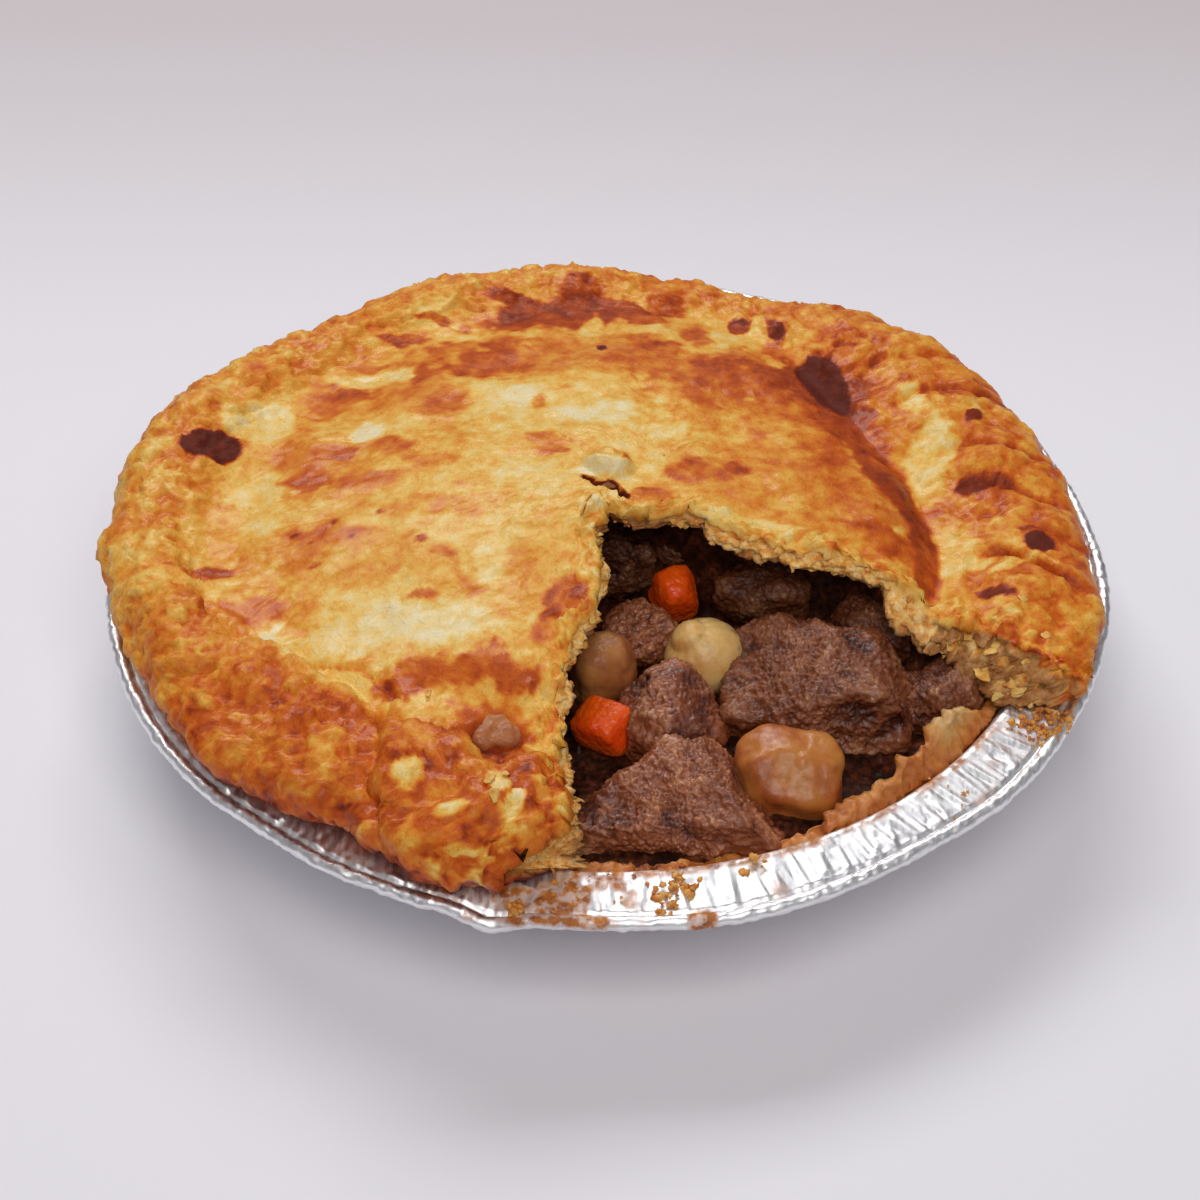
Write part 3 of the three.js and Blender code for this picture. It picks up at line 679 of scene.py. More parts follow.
def pastry_lid_mesh():
    shape = Shape()
    dome_shares = np.concatenate([
        np.linspace(0.0, TIP_SHARE, TIP_ROWS + 1)[1:],
        np.linspace(TIP_SHARE, INNER_SHARE, INNER_ROWS - TIP_ROWS + 1)[1:],
        np.linspace(INNER_SHARE, 1.0, OUTER_ROWS + 1)[1:],
    ])
    rim_shares = np.linspace(0.0, 1.0, RIM_ROWS + 1)[1:]

    def rows(columns):
        share = np.linspace(0.0, 1.0, columns + 1)
        radius, height = lid_top(share, dome_shares, rim_shares)
        return place(radius, lid_azimuth(share, radius, height), height)

    fine, coarse = rows(LID_COLUMNS), rows(LID_COLUMNS // 2)
    pole = shape.add(np.array([[0.0, 0.0, DOME_TOP]]), crumb=0.0, face=0.0)
    inner = shape.add(coarse[:INNER_ROWS], crumb=0.0, face=0.0)
    outer = shape.add(fine[INNER_ROWS:], crumb=0.0, face=0.0)
    shape.fan(pole[0], inner[0])
    shape.grid(inner)
    shape.stitch(inner[-1], outer[0])
    shape.grid(outer)

    foot_share = np.concatenate([np.zeros(INNER_ROWS + OUTER_ROWS), rim_shares])

    def under_rows(share):
        radius = lid_top(share, dome_shares, rim_shares)[0]
        groove = rim_at(lerp(LID_START, LID_END, share))[2]
        foot = radius[-1] - 1.5
        past_groove = foot_share[:, None]
        radius = np.where(past_groove > 0, lerp(groove, foot, past_groove), radius)
        azimuth = lid_azimuth(share, radius, np.full_like(radius, RIM_MIDDLE), (RIGHT_FOOT, LEFT_FOOT))
        return place(radius, azimuth, lid_underside(radius, azimuth) + tip_rise(radius))

    edges = {}
    for side, column in ((1, 0), (-1, -1)):
        edge = np.concatenate([coarse[:INNER_ROWS, column], fine[INNER_ROWS:, column]])
        under = under_rows(np.array([0.0 if side == 1 else 1.0]))[:, 0]
        face = cut_face(shape, edge, under, side)
        first = np.concatenate([inner[:, column], outer[:, column]])
        edges[side] = np.concatenate([first[:, None], face], axis=1)
    axis_depth = np.linspace(0.0, 1.0, FACE_STEPS)[1:]
    axis = place(0.0, 0.0, DOME_TOP - (LID_THICKNESS - TIP_RISE) * axis_depth)
    axis = np.concatenate([pole, shape.add(axis, crumb=np.minimum(4.0 * axis_depth, 1.0), face=1.0)])
    for face in edges.values():
        shape.grid(np.concatenate([axis[None, :], face]))

    share = np.linspace(0.0, 1.0, UNDER_COLUMNS + 1)[1:-1]
    middle = shape.add(under_rows(share), crumb=1.0, soak=1.0, face=1.0)
    under = np.concatenate([edges[1][:, -1:], middle, edges[-1][:, -1:]], axis=1)
    shape.fan(axis[-1], under[0])
    shape.grid(under)
    shape.stitch(outer[-1], under[-1])
    return shape.mesh("pastry_lid_crust")


PLEATS_APART = 6.2        # degrees
RIGHT_PLEATS_APART = 8.0


def pleated_right(azimuth):
    """1 on the right of the rim, where the pleats are deepest."""
    return band(azimuth, -34.0, -20.0, 48.0, 62.0)


def pleats(azimuth, radius, apart=PLEATS_APART):
    """Radial furrows pinched into the rim, 0 between them and 1 at their bottoms."""
    bent = azimuth + 2.6 * np.sin(radius / 7.0) + 1.3 * wander(azimuth, 9.0, 5)
    spot = bent / apart
    cell = np.round(spot)
    shift = 0.3 * wander(cell * 7.31, 1.7, 6)
    strength = np.clip(0.55 + 0.75 * wander(cell * 3.77, 1.3, 8), 0.1, 1.0)
    away = (spot - cell - shift) * apart * np.pi / 180.0 * radius
    return strength * np.exp(-(away / 1.3) ** 2)


def plates(points, size, seed, edge=0.07):
    """Thin flakes that lie over one another: 0 below and 1 on top, with steep edges."""
    warped = points + 0.5 * size * noise(points, 0.6 * size, seed + 1)[:, None]
    return smooth(noise(warped, size, seed), -edge, edge)


def flakiness(points, rim):
    """Height of the flakes on the crust, in millimetres: strong on the rim, faint on the dome."""
    large = plates(points, 8.5, 17) * 0.45 + plates(points, 4.8, 18) * 0.4
    small = plates(points, 2.8, 19, 0.1) * 0.35
    return (large + small) * (0.2 + 0.95 * rim)


# Where the rolled rim on the front left folds over the dome: azimuth, radius.
FOLD = np.array([(-172, 84), (-160, 84), (-152, 82), (-147, 73), (-134, 72), (-120, 74.5), (-111, 72.6),
                 (-104, 73), (-98, 74)])

# Fine cracks: start, end, width and depth, in plan.
CRACKS = [
    ((-4.8, 1.0), (-2.2, -0.9), 1.1, 1.6), ((-2.2, -0.9), (0.8, -1.2), 1.3, 2.6),
    ((0.8, -1.2), (3.2, -5.6), 1.5, 3.0),
    ((6.9, 8.5), (13.0, 11.0), 0.35, 0.4), ((13.0, 11.0), (20.0, 16.2), 0.4, 0.5),
    ((21.3, 10.9), (29.0, 11.4), 0.35, 0.4), ((29.0, 11.4), (36.2, 9.1), 0.35, 0.4),
    ((-86.0, -14.0), (-80.0, -18.5), 0.5, 0.8), ((-60.0, -41.5), (-47.0, -47.0), 0.9, 0.9),
    ((-47.0, -47.0), (-38.0, -56.5), 0.9, 1.0), ((-66.0, 37.0), (-56.0, 31.0), 0.6, 0.5),
]


def cracked(points):
    """Depth of the fine cracks at each point, in millimetres."""
    spot = points[:, :2] + 0.5 * np.stack([noise(points, 2.4, 63), noise(points, 2.4, 64)], axis=-1)
    deep = np.zeros(len(points))
    for start, end, width, depth in CRACKS:
        start, run = np.array(start), np.array(end) - np.array(start)
        share = np.clip(((spot - start) @ run) / (run @ run), 0.0, 1.0)
        away = np.linalg.norm(spot - start - share[:, None] * run, axis=1)
        deep = np.maximum(deep, depth * smooth(away, width, 0.25 * width))
    return deep


def tattered(points):
    """1 where the crust is torn to flakes, close to its cut edges, and 0 away from them."""
    radius, azimuth = polar(points)
    from_right = np.radians((azimuth - along(RIGHT_TEAR, radius, 1)) % 360.0)
    from_left = np.radians((along(LEFT_TEAR, radius, 1) - azimuth) % 360.0)
    reach = radius * np.minimum(from_right, from_left) + 3.0 * noise(points, 7.0, 22)
    wide = 8.0 + 5.0 * smooth(radius, 60.0, 80.0)
    return smooth(reach, wide, 1.0) * smooth(radius, 3.0, 7.0)


def shape_the_crust(mesh, sizes):
    """Waves, blisters, pleats, the overlapping roll, flakes and the cracks at the middle."""
    points = read_points(mesh)
    x, y, z = points.T
    radius, azimuth = polar(points)
    outer, crest, groove = rim_at(azimuth)
    top = 1.0 - read_values(mesh, "face")
    rim = smooth(radius, groove - 1.0, groove + 6.0)
    foot = smooth(z, RIM_SEAT_HEIGHT + 0.2, RIM_SEAT_HEIGHT + 3.5)
    right = pleated_right(azimuth)
    front = band(azimuth, -176.0, -160.0, -97.0, -90.0)
    back = band(azimuth, 95.0, 112.0, 145.0, 160.0)
    wave, blister, pleat = sizes.wave / MM, sizes.blister / MM, sizes.pleat / MM

    lift = wave * layered(points, (1.2, 30.0, 1), (1.0, 14.0, 2), (0.35, 7.0, 7))
    lift += rim * wave * layered(points, (1.0, 12.0, 3), (0.5, 5.5, 8))
    lift += rim * front * blister * layered(points, (1.5, 16.0, 4), (0.8, 8.0, 6))
    slope = band(radius, groove + 5.0, groove + 16.0, outer - 7.0, outer + 2.0)
    lift -= right * slope * 1.45 * pleat * pleats(azimuth, radius, RIGHT_PLEATS_APART)
    outward = smooth(radius, groove + 12.0, groove + 20.0)
    lift -= right * slope * outward * 0.24 * pleat * pleats(azimuth + 1.3, radius, 3.4)
    lift -= back * slope * 0.6 * pleat * pleats(azimuth + 3.0, radius)
    lift -= front * rim * 0.35 * pleat * pleats(azimuth * 0.8, radius)
    brink = smooth(np.abs(radius - groove), 4.5, 0.0)
    lift -= brink * right * 1.5

    past = radius + 1.6 * noise(points, 8.0, 10) - along(FOLD, azimuth, 1)
    folded = band(azimuth, -172.0, -160.0, -101.0, -97.0)
    lift += folded * 2.3 * smooth(past, -0.6, 2.4) * smooth(past, 20.0, 6.0)
    lift -= folded * 1.1 * np.exp(-((past + 0.8) / 1.6) ** 2)

    crease = azimuth + 117.9 - 0.48 * (radius - 90.0) + 2.6 * noise(points, 9.0, 9)
    across = crease * np.pi / 180.0 * radius
    roll = smooth(radius, 62.0, 72.0)
    lift += roll * 1.9 * smooth(across, -1.0, 3.0) * smooth(azimuth, -90.0, -98.0)
    lift -= roll * 1.4 * np.exp(-((across + 0.6) / 1.9) ** 2)
    hollow = np.hypot((x + 21.0) / 6.4, (y + 68.5) / 8.5) + 0.25 * noise(points, 4.0, 21)
    lift -= 3.8 * smooth(hollow, 1.15, 0.5)
    push(mesh, lift * top * foot)

    points = read_points(mesh)
    tuck = 2.2 * front * smooth(points[:, 2], 36.0, 30.0) * smooth(radius, 84.0, 94.0)
    inward = np.stack([x, y, 0.0 * x], axis=-1) / np.maximum(radius, 1.0)[:, None]
    write_points(mesh, points - inward * tuck[:, None])

    points = read_points(mesh)
    streaks = place(radius * 0.3, azimuth, z * 0.4)
    fine = layered(points, (0.14 + 0.1 * rim, 3.0, 12), (0.07 + 0.08 * rim, 1.5, 13))
    fine += rim * 0.12 * noise(streaks, 1.7, 16)
    wrinkle = -0.3 * smooth(np.abs(noise(points * (0.6, 1.7, 1.0), 13.0, 14)), 0.05, 0.0) * (1.0 - right)
    flakes = flakiness(points, rim * (1.0 - 0.55 * right))
    torn = tattered(points)
    flakes += torn * (0.9 * plates(points, 4.2, 24) + 0.7 * plates(points, 2.4, 26, 0.12)
                      + 0.5 * noise(points, 2.4, 28))
    knob = np.hypot((x - KNOB_PLACE[0]) / 5.2, (y - KNOB_PLACE[1]) / 5.2) + 0.14 * noise(points, 3.0, 20)
    steep = lerp(0.2, 0.55, smooth(y, KNOB_PLACE[1] + 1.0, KNOB_PLACE[1] - 2.0))
    bulge = 2.9 * smooth(knob, 1.15, steep) + 0.5 * noise(points, 2.6, 25) * smooth(knob, 1.3, 0.9)
    push(mesh, (fine + wrinkle + flakes + bulge - cracked(points)) * top * (0.25 + 0.75 * foot))


# How much more baked the rim is than its middle value: azimuth, change.
RIM_BAKE = np.array([
    (-180, -0.07), (-165, -0.07), (-155, 0.02), (-140, 0.1), (-118, 0.11), (-100, 0.13), (-90, 0.04),
    (-80, 0.0), (-30, 0.0), (-10, 0.03), (20, 0.05), (32, 0.05), (50, 0.02), (62, -0.01), (78, 0.03),
    (92, -0.02), (108, -0.08), (125, 0.0), (142, -0.03), (160, -0.01), (172, -0.08), (180, -0.07),
])
MIDDLE_BAKE = 0.42        # of the dome, between its spots
RING_BAKE = 0.84          # of the dark ring along the groove on the right
BURNT_FROM = 0.86         # flakes and furrows change nothing that is baked more than this


def browning(mesh):
    """How dark each point of the crust is coloured, from 0, pale, to 1, burnt: mostly how baked it is, with
    painted shade on the rim's lower slopes, in the pleats' furrows and in the cracks.
    """
    points = read_points(mesh)
    x, y, z = points.T
    radius, azimuth = polar(points)
    groove = rim_at(azimuth)[2]
    rim = smooth(radius, groove + 1.0, groove + 10.0)
    streaks = place(radius / 3.0, azimuth, z)
    shift_x, shift_y = 2.6 * noise(points, 7.0, 65), 2.6 * noise(points, 7.0, 66)
    coarse = layered(points, (0.13, 15.0, 51), (0.12, 7.0, 52)) * (1.0 - 0.5 * rim)
    bake = MIDDLE_BAKE + coarse + layered(points, (0.09, 3.2, 53), (0.06, 1.6, 54))
    bake += rim * (0.185 + 0.04 * noise(streaks, 3.2, 55) + 0.05 * noise(points, 6.0, 60))
    front = band(azimuth, -160.0, -146.0, -95.0, -80.0)
    bake += rim * along(RIM_BAKE, azimuth, 1)
    # Painted shade: the rim's lower slopes are coloured darker, most on the front left, where the rim
    # overhangs.
    bake += (0.1 + 0.07 * front) * smooth(z, TIN_HEIGHT + 10.0, TIN_HEIGHT + 3.0) * rim
    inward = groove + 1.0 * noise(points, 6.0, 61) - radius
    ring = band(inward, -1.0, 1.2, 2.5, 9.0)
    right = band(azimuth, -22.0, -10.0, 44.0, 60.0)
    bake = lerp(bake, RING_BAKE, np.clip(ring * right * (0.95 + 0.5 * noise(points, 7.0, 56)), 0.0, 1.0))
    stray = layered(points, (0.5, 7.0, 57), (0.45, 3.2, 58), (0.28, 1.5, 59))
    mottle = 0.45 * coarse + layered(points, (0.11, 4.0, 62), (0.07, 1.8, 67))
    for spot_x, spot_y, half, width, turn, value, soft in BROWNED:
        cosine, sine = math.cos(math.radians(turn)), math.sin(math.radians(turn))
        loose = min(1.5 * soft, 1.0)
        off_x, off_y = x - spot_x + loose * shift_x, y - spot_y + loose * shift_y
        along_x, along_y = off_x * cosine + off_y * sine, off_y * cosine - off_x * sine
        reach = np.hypot(along_x / half, along_y / width) + stray * (0.05 + 1.25 * soft)
        spotted = value + mottle * (value < 0.95)
        bake = lerp(bake, spotted, smooth(reach, 1.0 + soft * 0.52, 1.0 - soft * 0.52))
    flakes = flakiness(points, rim)
    torn = tattered(points)
    tatters = MIDDLE_BAKE + 0.2 * smooth(radius, 30.0, 60.0) - 0.2 * plates(points, 2.4, 26, 0.12)
    tatters += layered(points, (0.3, 3.4, 68), (0.22, 1.6, 69))
    bake = lerp(bake, tatters, torn * smooth(noise(points, 6.0, 70), -0.35, 0.25) * (bake < 0.8))
    bake -= (0.12 + 0.04 * rim) * (flakes - 0.6 * (0.2 + 0.8 * rim)) * (bake < BURNT_FROM)
    # The pleats' furrows are coloured browner and their ridges paler: partly browning, partly painted shade
    # in the furrows.
    furrow = pleats(azimuth, radius, RIGHT_PLEATS_APART) * pleated_right(azimuth)
    bake += 0.22 * smooth(radius, groove + 4.0, groove + 14.0) * (furrow - 0.3) * (bake < BURNT_FROM)
    # Painted shade: the cracks are coloured dark brown to burnt, darkest at the middle, where the crack lies
    # under the pale lump.
    middle = radius < 8.0
    bake = np.maximum(bake, np.minimum(cracked(points) * (0.9 + 1.5 * middle), 1.0) * (0.7 + 0.3 * middle))
    return np.clip(bake, 0.0, 1.0)


def crust_finish(colours):
    """Baked pastry: pale to burnt, mottled, with a thin glaze."""
    finish = Finish("baked_pastry")
    bake = finish.value("bake")
    scales = finish.fit(finish.noise(2.4, 2.0, 0.5, distortion=0.6), 0.5, 0.535)
    small_scales = finish.fit(finish.noise(1.2, 2.0, 0.5, distortion=0.6), 0.5, 0.55)
    mottle = finish.sum("ADD", finish.fit(finish.noise(2.8, 5.0, 0.6), 0.25, 0.75, -0.13, 0.13, soft=False),
                        finish.fit(finish.noise(0.8, 3.0, 0.6), 0.25, 0.75, -0.05, 0.05, soft=False))
    mottle = finish.sum("SUBTRACT", mottle, finish.sum("MULTIPLY", scales, 0.03))
    bake = finish.sum("ADD", bake, finish.sum("MULTIPLY", mottle, finish.fit(bake, 0.35, 0.7, 1.0, 0.45)))
    stops = [
        (0.0, tuple(colours.pale)), (0.15, shade(238, 211, 146)), (0.30, tuple(colours.golden)),
        (0.44, shade(231, 164, 64)), (0.56, shade(220, 130, 40)), (0.68, shade(200, 90, 22)),
        (0.78, tuple(colours.brown)), (0.89, shade(132, 45, 20)), (1.0, tuple(colours.burnt)),
    ]
    colour_now = finish.ramp(bake, stops)
    crumb = finish.value("crumb")
    inside = finish.ramp(finish.noise(1.6, 5.0, 0.65), [
        (0.28, shade(200, 106, 34)), (0.42, shade(238, 164, 76)), (0.54, shade(250, 204, 124)),
        (0.72, shade(254, 234, 182)),
    ])
    colour_now = finish.mix(crumb, colour_now, inside)
    # The soaked colour is soaked pastry low on the cut faces and underneath, and painted shade under the top
    # skin at the middle and on the right face's end.
    soaked_and_shaded = finish.ramp(finish.noise(2.2, 5.0, 0.65), [
        (0.3, shade(104, 54, 28)), (0.5, shade(166, 106, 60)), (0.7, shade(206, 156, 104)),
    ])
    colour_now = finish.mix(finish.value("soak"), colour_now, soaked_and_shaded)
    gloss = finish.sum("ADD", finish.fit(bake, 0.84, 0.96, 0.46, 0.68), finish.sum("MULTIPLY", crumb, 0.3))
    height = finish.sum("ADD", finish.noise(2.0, 4.0, 0.6), finish.sum("MULTIPLY", scales, 0.25))
    height = finish.sum("ADD", height, finish.sum("MULTIPLY", small_scales, 0.2))
    glaze = finish.sum("MULTIPLY", finish.fit(crumb, 0.0, 0.6, 1.0, 0.0),
                       finish.fit(bake, 0.8, 0.95, 1.0, 0.05))
    glaze = finish.sum("MULTIPLY", glaze, finish.fit(finish.noise(16.0, 3.0), 0.4, 0.62, 0.04, 0.24))
    finish.set(Base_Color=colour_now, Roughness=gloss, Specular_IOR_Level=0.2, Coat_Roughness=0.15,
               Specular_Tint=(1.0, 0.84, 0.62), Coat_Weight=glaze, Normal=finish.bump(height, 0.3, 0.8))
    return finish.material


# ---- foil tin ------------------------------------------------------------------------------------

TIN_COLUMNS = 1320
FLANGE_ROWS, BEAD_ROWS, WALL_ROWS = 15, 16, 13
# Bends of the bead: azimuth, width in degrees, shift outwards, shift up.
BENDS = [(-130, 7, -1.6, -0.3), (-102, 3.0, 1.2, -1.6), (-77, 6, 0.9, 0.0), (-53, 9, -0.9, 0.2),
         (-8, 8, 0.8, 0.3), (35, 10, -0.8, 0.4), (95, 12, 0.7, -0.3), (160, 9, -0.9, 0.3)]


def creased(azimuth, radius, spacing, seed):
    """Straight-sided folds that run across the flange at odd angles, from about -1 to 1."""
    draw = np.random.default_rng(seed)
    steps = draw.uniform(0.45, 1.6, int(360.0 / spacing))
    centres = np.cumsum(steps) * 360.0 / steps.sum()
    slants = draw.normal(0.12, 0.22, len(centres))
    heights = draw.uniform(0.35, 1.0, len(centres)) * np.where(np.arange(len(centres)) % 2, 1, -1)
    result = np.empty(np.broadcast(azimuth, radius).shape)
    for row, (line, reach) in enumerate(zip(azimuth, radius)):
        place_now = centres + np.degrees(slants * (reach.mean() - 95.0) / 95.0)
        order = np.argsort(place_now % 360.0)
        result[row] = np.interp(line % 360.0, (place_now % 360.0)[order], heights[order], period=360)
    return result


def tin_profile():
    """The tin's section from the middle underneath, round the bead, to the middle inside."""
    flange_top = TIN_HEIGHT + FLANGE_RISE
    bead = TIN_RADIUS - BEAD_RADIUS
    rows = [(r, 0.0, "base") for r in (2.0, 25.0, 50.0, 66.0)]
    rows += [(r, z, "base") for r, z in ((72.5, 0.0), (74.2, 0.25), (TIN_FOOT_RADIUS, 1.0))]
    for share in np.linspace(0.0, 1.0, WALL_ROWS)[1:]:
        rows.append((lerp(TIN_FOOT_RADIUS, WALL_HEAD[0] + 0.5, share), lerp(1.0, WALL_HEAD[1] - 0.4, share),
                     "wall"))
    rows += [(WALL_HEAD[0] + 1.2, flange_top - 0.25, "under"), (94.0, 27.9, "under"), (98.0, 27.2, "under")]
    for angle in np.radians(np.linspace(-165.0, 138.0, BEAD_ROWS)):
        rows.append((bead + BEAD_RADIUS * math.cos(angle), TIN_HEIGHT + BEAD_RADIUS * math.sin(angle),
                     "bead"))
    rows += [(bead - BEAD_RADIUS - 0.05, TIN_HEIGHT + 0.25, "bead"),
             (bead - BEAD_RADIUS - 0.45, TIN_HEIGHT + 0.3, "flange")]
    for share in np.linspace(0.0, 1.0, FLANGE_ROWS):
        rows.append((lerp(98.5, FLANGE_INNER_RADIUS, share),
                     lerp(TIN_HEIGHT + 0.75, flange_top + FOIL, share), "flange"))
    rows += [(WALL_HEAD[0] + 0.3, WALL_HEAD[1] + 0.45, "inside"), (WALL_HEAD[0], WALL_HEAD[1], "inside")]
    for share in (0.15, 0.35, 0.6, 0.85, 1.0):
        rows.append((lerp(WALL_HEAD[0], WALL_FOOT[0], share), lerp(WALL_HEAD[1], WALL_FOOT[1], share),
                     "inside"))
    rows += [(73.4, FOIL, "inside"), (50.0, FOIL, "inside"), (2.0, FOIL, "inside")]
    return rows


def foil_tin_mesh(sizes):
    rows = tin_profile()
    radius = np.array([row[0] for row in rows])[:, None]
    height = np.array([row[1] for row in rows])[:, None]
    part = np.array([row[2] for row in rows])[:, None]
    azimuth = (np.arange(TIN_COLUMNS) * 360.0 / TIN_COLUMNS)[None, :] * np.ones_like(radius)
    wide = radius * np.ones_like(azimuth)
    crease = sizes.crease / MM
    big = creased(azimuth, wide, 1.3, sizes.seed)
    fine = creased(azimuth, wide, 0.62, sizes.seed + 1)
    points = place(wide, azimuth, height)
    soft = noise(points, 14.0, 71)
    flange = (part == "flange") | (part == "under")
    reach = smooth(wide, FLANGE_INNER_RADIUS - 1.0, 97.0)
    shaded = 1.0 + 0.8 * band(azimuth, 170.0, 195.0, 250.0, 262.0)
    up = flange * (0.5 + 0.5 * reach) * crease * (0.46 * shaded * big + 0.38 * fine + 0.2 * soft)
    up = up * smooth(wide, 99.4, 98.2)
    wall = part == "wall"
    flute = np.sin(np.radians(azimuth) * 96.0 + 1.5 * soft)
    share = (height - 1.0) / TIN_HEIGHT
    out = wall * smooth(share, 0.0, 0.15) * (0.45 * crease * flute + 0.25 * crease * fine)
    bead = part == "bead"
    knurl = layered(points, (0.26, 1.7, 72), (0.16, 0.8, 73), (0.2, 5.0, 74))
    for centre, width, shift_out, shift_up in BENDS:
        away = (azimuth - centre + 180.0) % 360.0 - 180.0
        bend = np.exp(-(away / width) ** 2) * smooth(wide, 93.0, 99.5)
        out = out + bend * shift_out * 0.8
        up = up + bend * shift_up
    out = out + 0.5 * noise(place(wide * 0 + 100.0, azimuth, 0.0), 30.0, 75) * smooth(wide, 90.0, 99.0)
    tilt = np.arctan2(height - TIN_HEIGHT, wide - (TIN_RADIUS - BEAD_RADIUS))
    out = out + bead * knurl * np.cos(tilt)
    up = up + bead * knurl * np.sin(tilt)
    points = place(wide + out, azimuth, height + up)
    shape = Shape()
    numbers = shape.add(points)
    shape.grid(numbers, closed=True)
    bottom = shape.add(np.array([[0.0, 0.0, 0.0]]))
    inside = shape.add(np.array([[0.0, 0.0, FOIL]]))
    shape.fan(bottom[0], numbers[0], closed=True)
    shape.fan(inside[0], numbers[-1], closed=True)
    return shape.mesh("foil_tin_shell")


def stains(points):
    """Where grease and gravy have run over the foil, from 0 to 1."""
    z = points[:, 2]
    radius, azimuth = polar(points)
    front = band(azimuth, -108.0, -104.0, -89.0, -85.0) * smooth(z, 26.0, 27.5)
    patchy = smooth(rough(points * (1.0, 0.6, 1.0), 6.0, 81), -0.1, 0.2)
    inner = smooth(radius, 91.4, 89.8) * band(azimuth, -98.0, -90.0, -34.0, -30.0)
    inner = inner * smooth(rough(points, 5.0, 82), -0.35, 0.1) * smooth(z, 22.0, 25.0)
    drip = smooth(np.hypot((azimuth + 80.0) * 1.7, (radius - 101.5) / 1.0), 3.4, 2.0)
    yellow = smooth(np.hypot((azimuth + 43.0) * 1.7 / 4.5, (radius - 98.3) / 0.8), 1.2, 0.5) * 0.5
    traces = 0.5 * smooth(noise(points, 9.0, 84), 0.42, 0.6) * smooth(z, 27.0, 28.0)
    return np.clip(front * patchy + 0.9 * inner + drip + yellow + traces * (azimuth < -20), 0.0, 1.0)


def foil_finish(colours):
    """Thin bright foil with rolled lines, and brown grease where it has run."""
    finish = Finish("bright_foil")
    stain = finish.sum("MULTIPLY", finish.value("stain"),
                       finish.fit(finish.noise(2.0, 3.0), 0.35, 0.6, 0.5, 1.1))
    brown = finish.ramp(finish.noise(2.6, 3.0), [(0.3, shade(142, 70, 20)), (0.7, shade(214, 134, 52))])
    line = finish.noise(0.9, 2.0, place=finish.stretched((1.0, 0.12, 1.0)))
    silver = finish.mix(finish.fit(finish.noise(6.0, 3.0), 0.35, 0.7), tuple(colours.foil),
                        shade(241, 240, 242))
    rough_now = finish.sum("ADD", finish.fit(line, 0.3, 0.7, 0.33, 0.52), finish.sum("MULTIPLY", stain, 0.2))
    finish.set(Base_Color=finish.mix(stain, silver, brown), Roughness=rough_now,
               Metallic=finish.fit(stain, 0.15, 0.7, 1.0, 0.0),
               Normal=finish.bump(finish.noise(0.8, 4.0, 0.6), 0.05, 0.6))
    return finish.material


# ---- pastry case ---------------------------------------------------------------------------------

CASE_AZIMUTHS = ((-104.0, -22.0, 300), (-22.0, 256.0, 140))   # start, end, columns
CASE_WALL_ROWS, CASE_LIP_ROWS = 26, 9


def tin_inside(height):
    return lerp(WALL_FOOT[0], WALL_HEAD[0], (height - WALL_FOOT[1]) / (WALL_HEAD[1] - WALL_FOOT[1]))


def spread(runs):
    return np.concatenate([np.linspace(start, end, count, endpoint=False) for start, end, count in runs])


def leaning(height):
    """Outer radius of the case's wall, which leans in over the tin's top."""
    return tin_inside(np.clip(height, 2.5, TIN_HEIGHT)) - GAP - 0.9 * np.maximum(height - TIN_HEIGHT, 0.0)


def torn_side(azimuth):
    """1 where the case is torn open and shows, 0 under the lid."""
    return band(azimuth, -101.0, -96.0, -30.0, -25.0)


def pastry_case_mesh():
    """The base pastry as a bowl, with its torn edge and the strip that still stands."""
    azimuth = spread(CASE_AZIMUTHS)
    torn = torn_side(azimuth)
    tear = 1.6 * wander(azimuth, 4.2, 91) + 1.3 * wander(azimuth, 1.9, 92) + 0.35 * wander(azimuth, 0.8, 93)
    top = TIN_HEIGHT + along(CASE_EDGE, azimuth, 1) + tear * torn
    high = np.maximum(top - TIN_HEIGHT, 0.0)
    wall = lerp(CASE_WALL, 1.9, smooth(high, 0.5, 4.0) * torn)
    floor = CASE_FLOOR + FOIL + GAP
    rows = [(r + 0.0 * top, GAP + FOIL + 0.0 * top) for r in (2.0, 40.0, 70.8)]
    for share in np.linspace(0.0, 1.0, CASE_WALL_ROWS):
        z = lerp(2.5, top - CHAMFER, share)
        rows.append((leaning(z), z))
    outer_top = rows[-1][0]
    for share in np.linspace(0.0, 1.0, CASE_LIP_ROWS)[1:-1]:
        rows.append((outer_top - wall * 0.5 * (1.0 - math.cos(math.pi * share)),
                     top - CHAMFER * (1.0 - share) + 0.55 * math.sin(math.pi * share) * torn))
    for share in np.linspace(0.0, 1.0, CASE_WALL_ROWS):
        z = lerp(top, floor + 3.0, share)
        thick = lerp(CASE_WALL, wall, smooth(z, TIN_HEIGHT - 3.0, TIN_HEIGHT))
        rows.append((leaning(z) - thick, z))
    rows += [(r + 0.0 * top, floor + 0.0 * top) for r in (TIN_FOOT_RADIUS - CASE_WALL - 3.0, 40.0, 2.0)]
    radius = np.array([row[0] for row in rows])
    height = np.array([row[1] for row in rows])
    shape = Shape()
    numbers = shape.add(place(radius, azimuth, height))
    shape.grid(numbers, closed=True)
    for row, z in ((0, GAP + FOIL), (-1, floor)):
        centre = shape.add(np.array([[0.0, 0.0, z]]))
        shape.fan(centre[0], numbers[row], closed=True)
    mesh = shape.mesh("pastry_case_crust")
    points = read_points(mesh)
    shown = torn_side(polar(points)[1]) * smooth(points[:, 2], 17.0, 20.0)
    wave = layered(points, (0.9, 6.0, 94), (0.75, 2.6, 95), (0.4, 1.1, 96))
    wave -= 0.9 * smooth(cells(points, 2.6, 97), 0.45, 0.1)
    push(mesh, wave * shown)
    return mesh


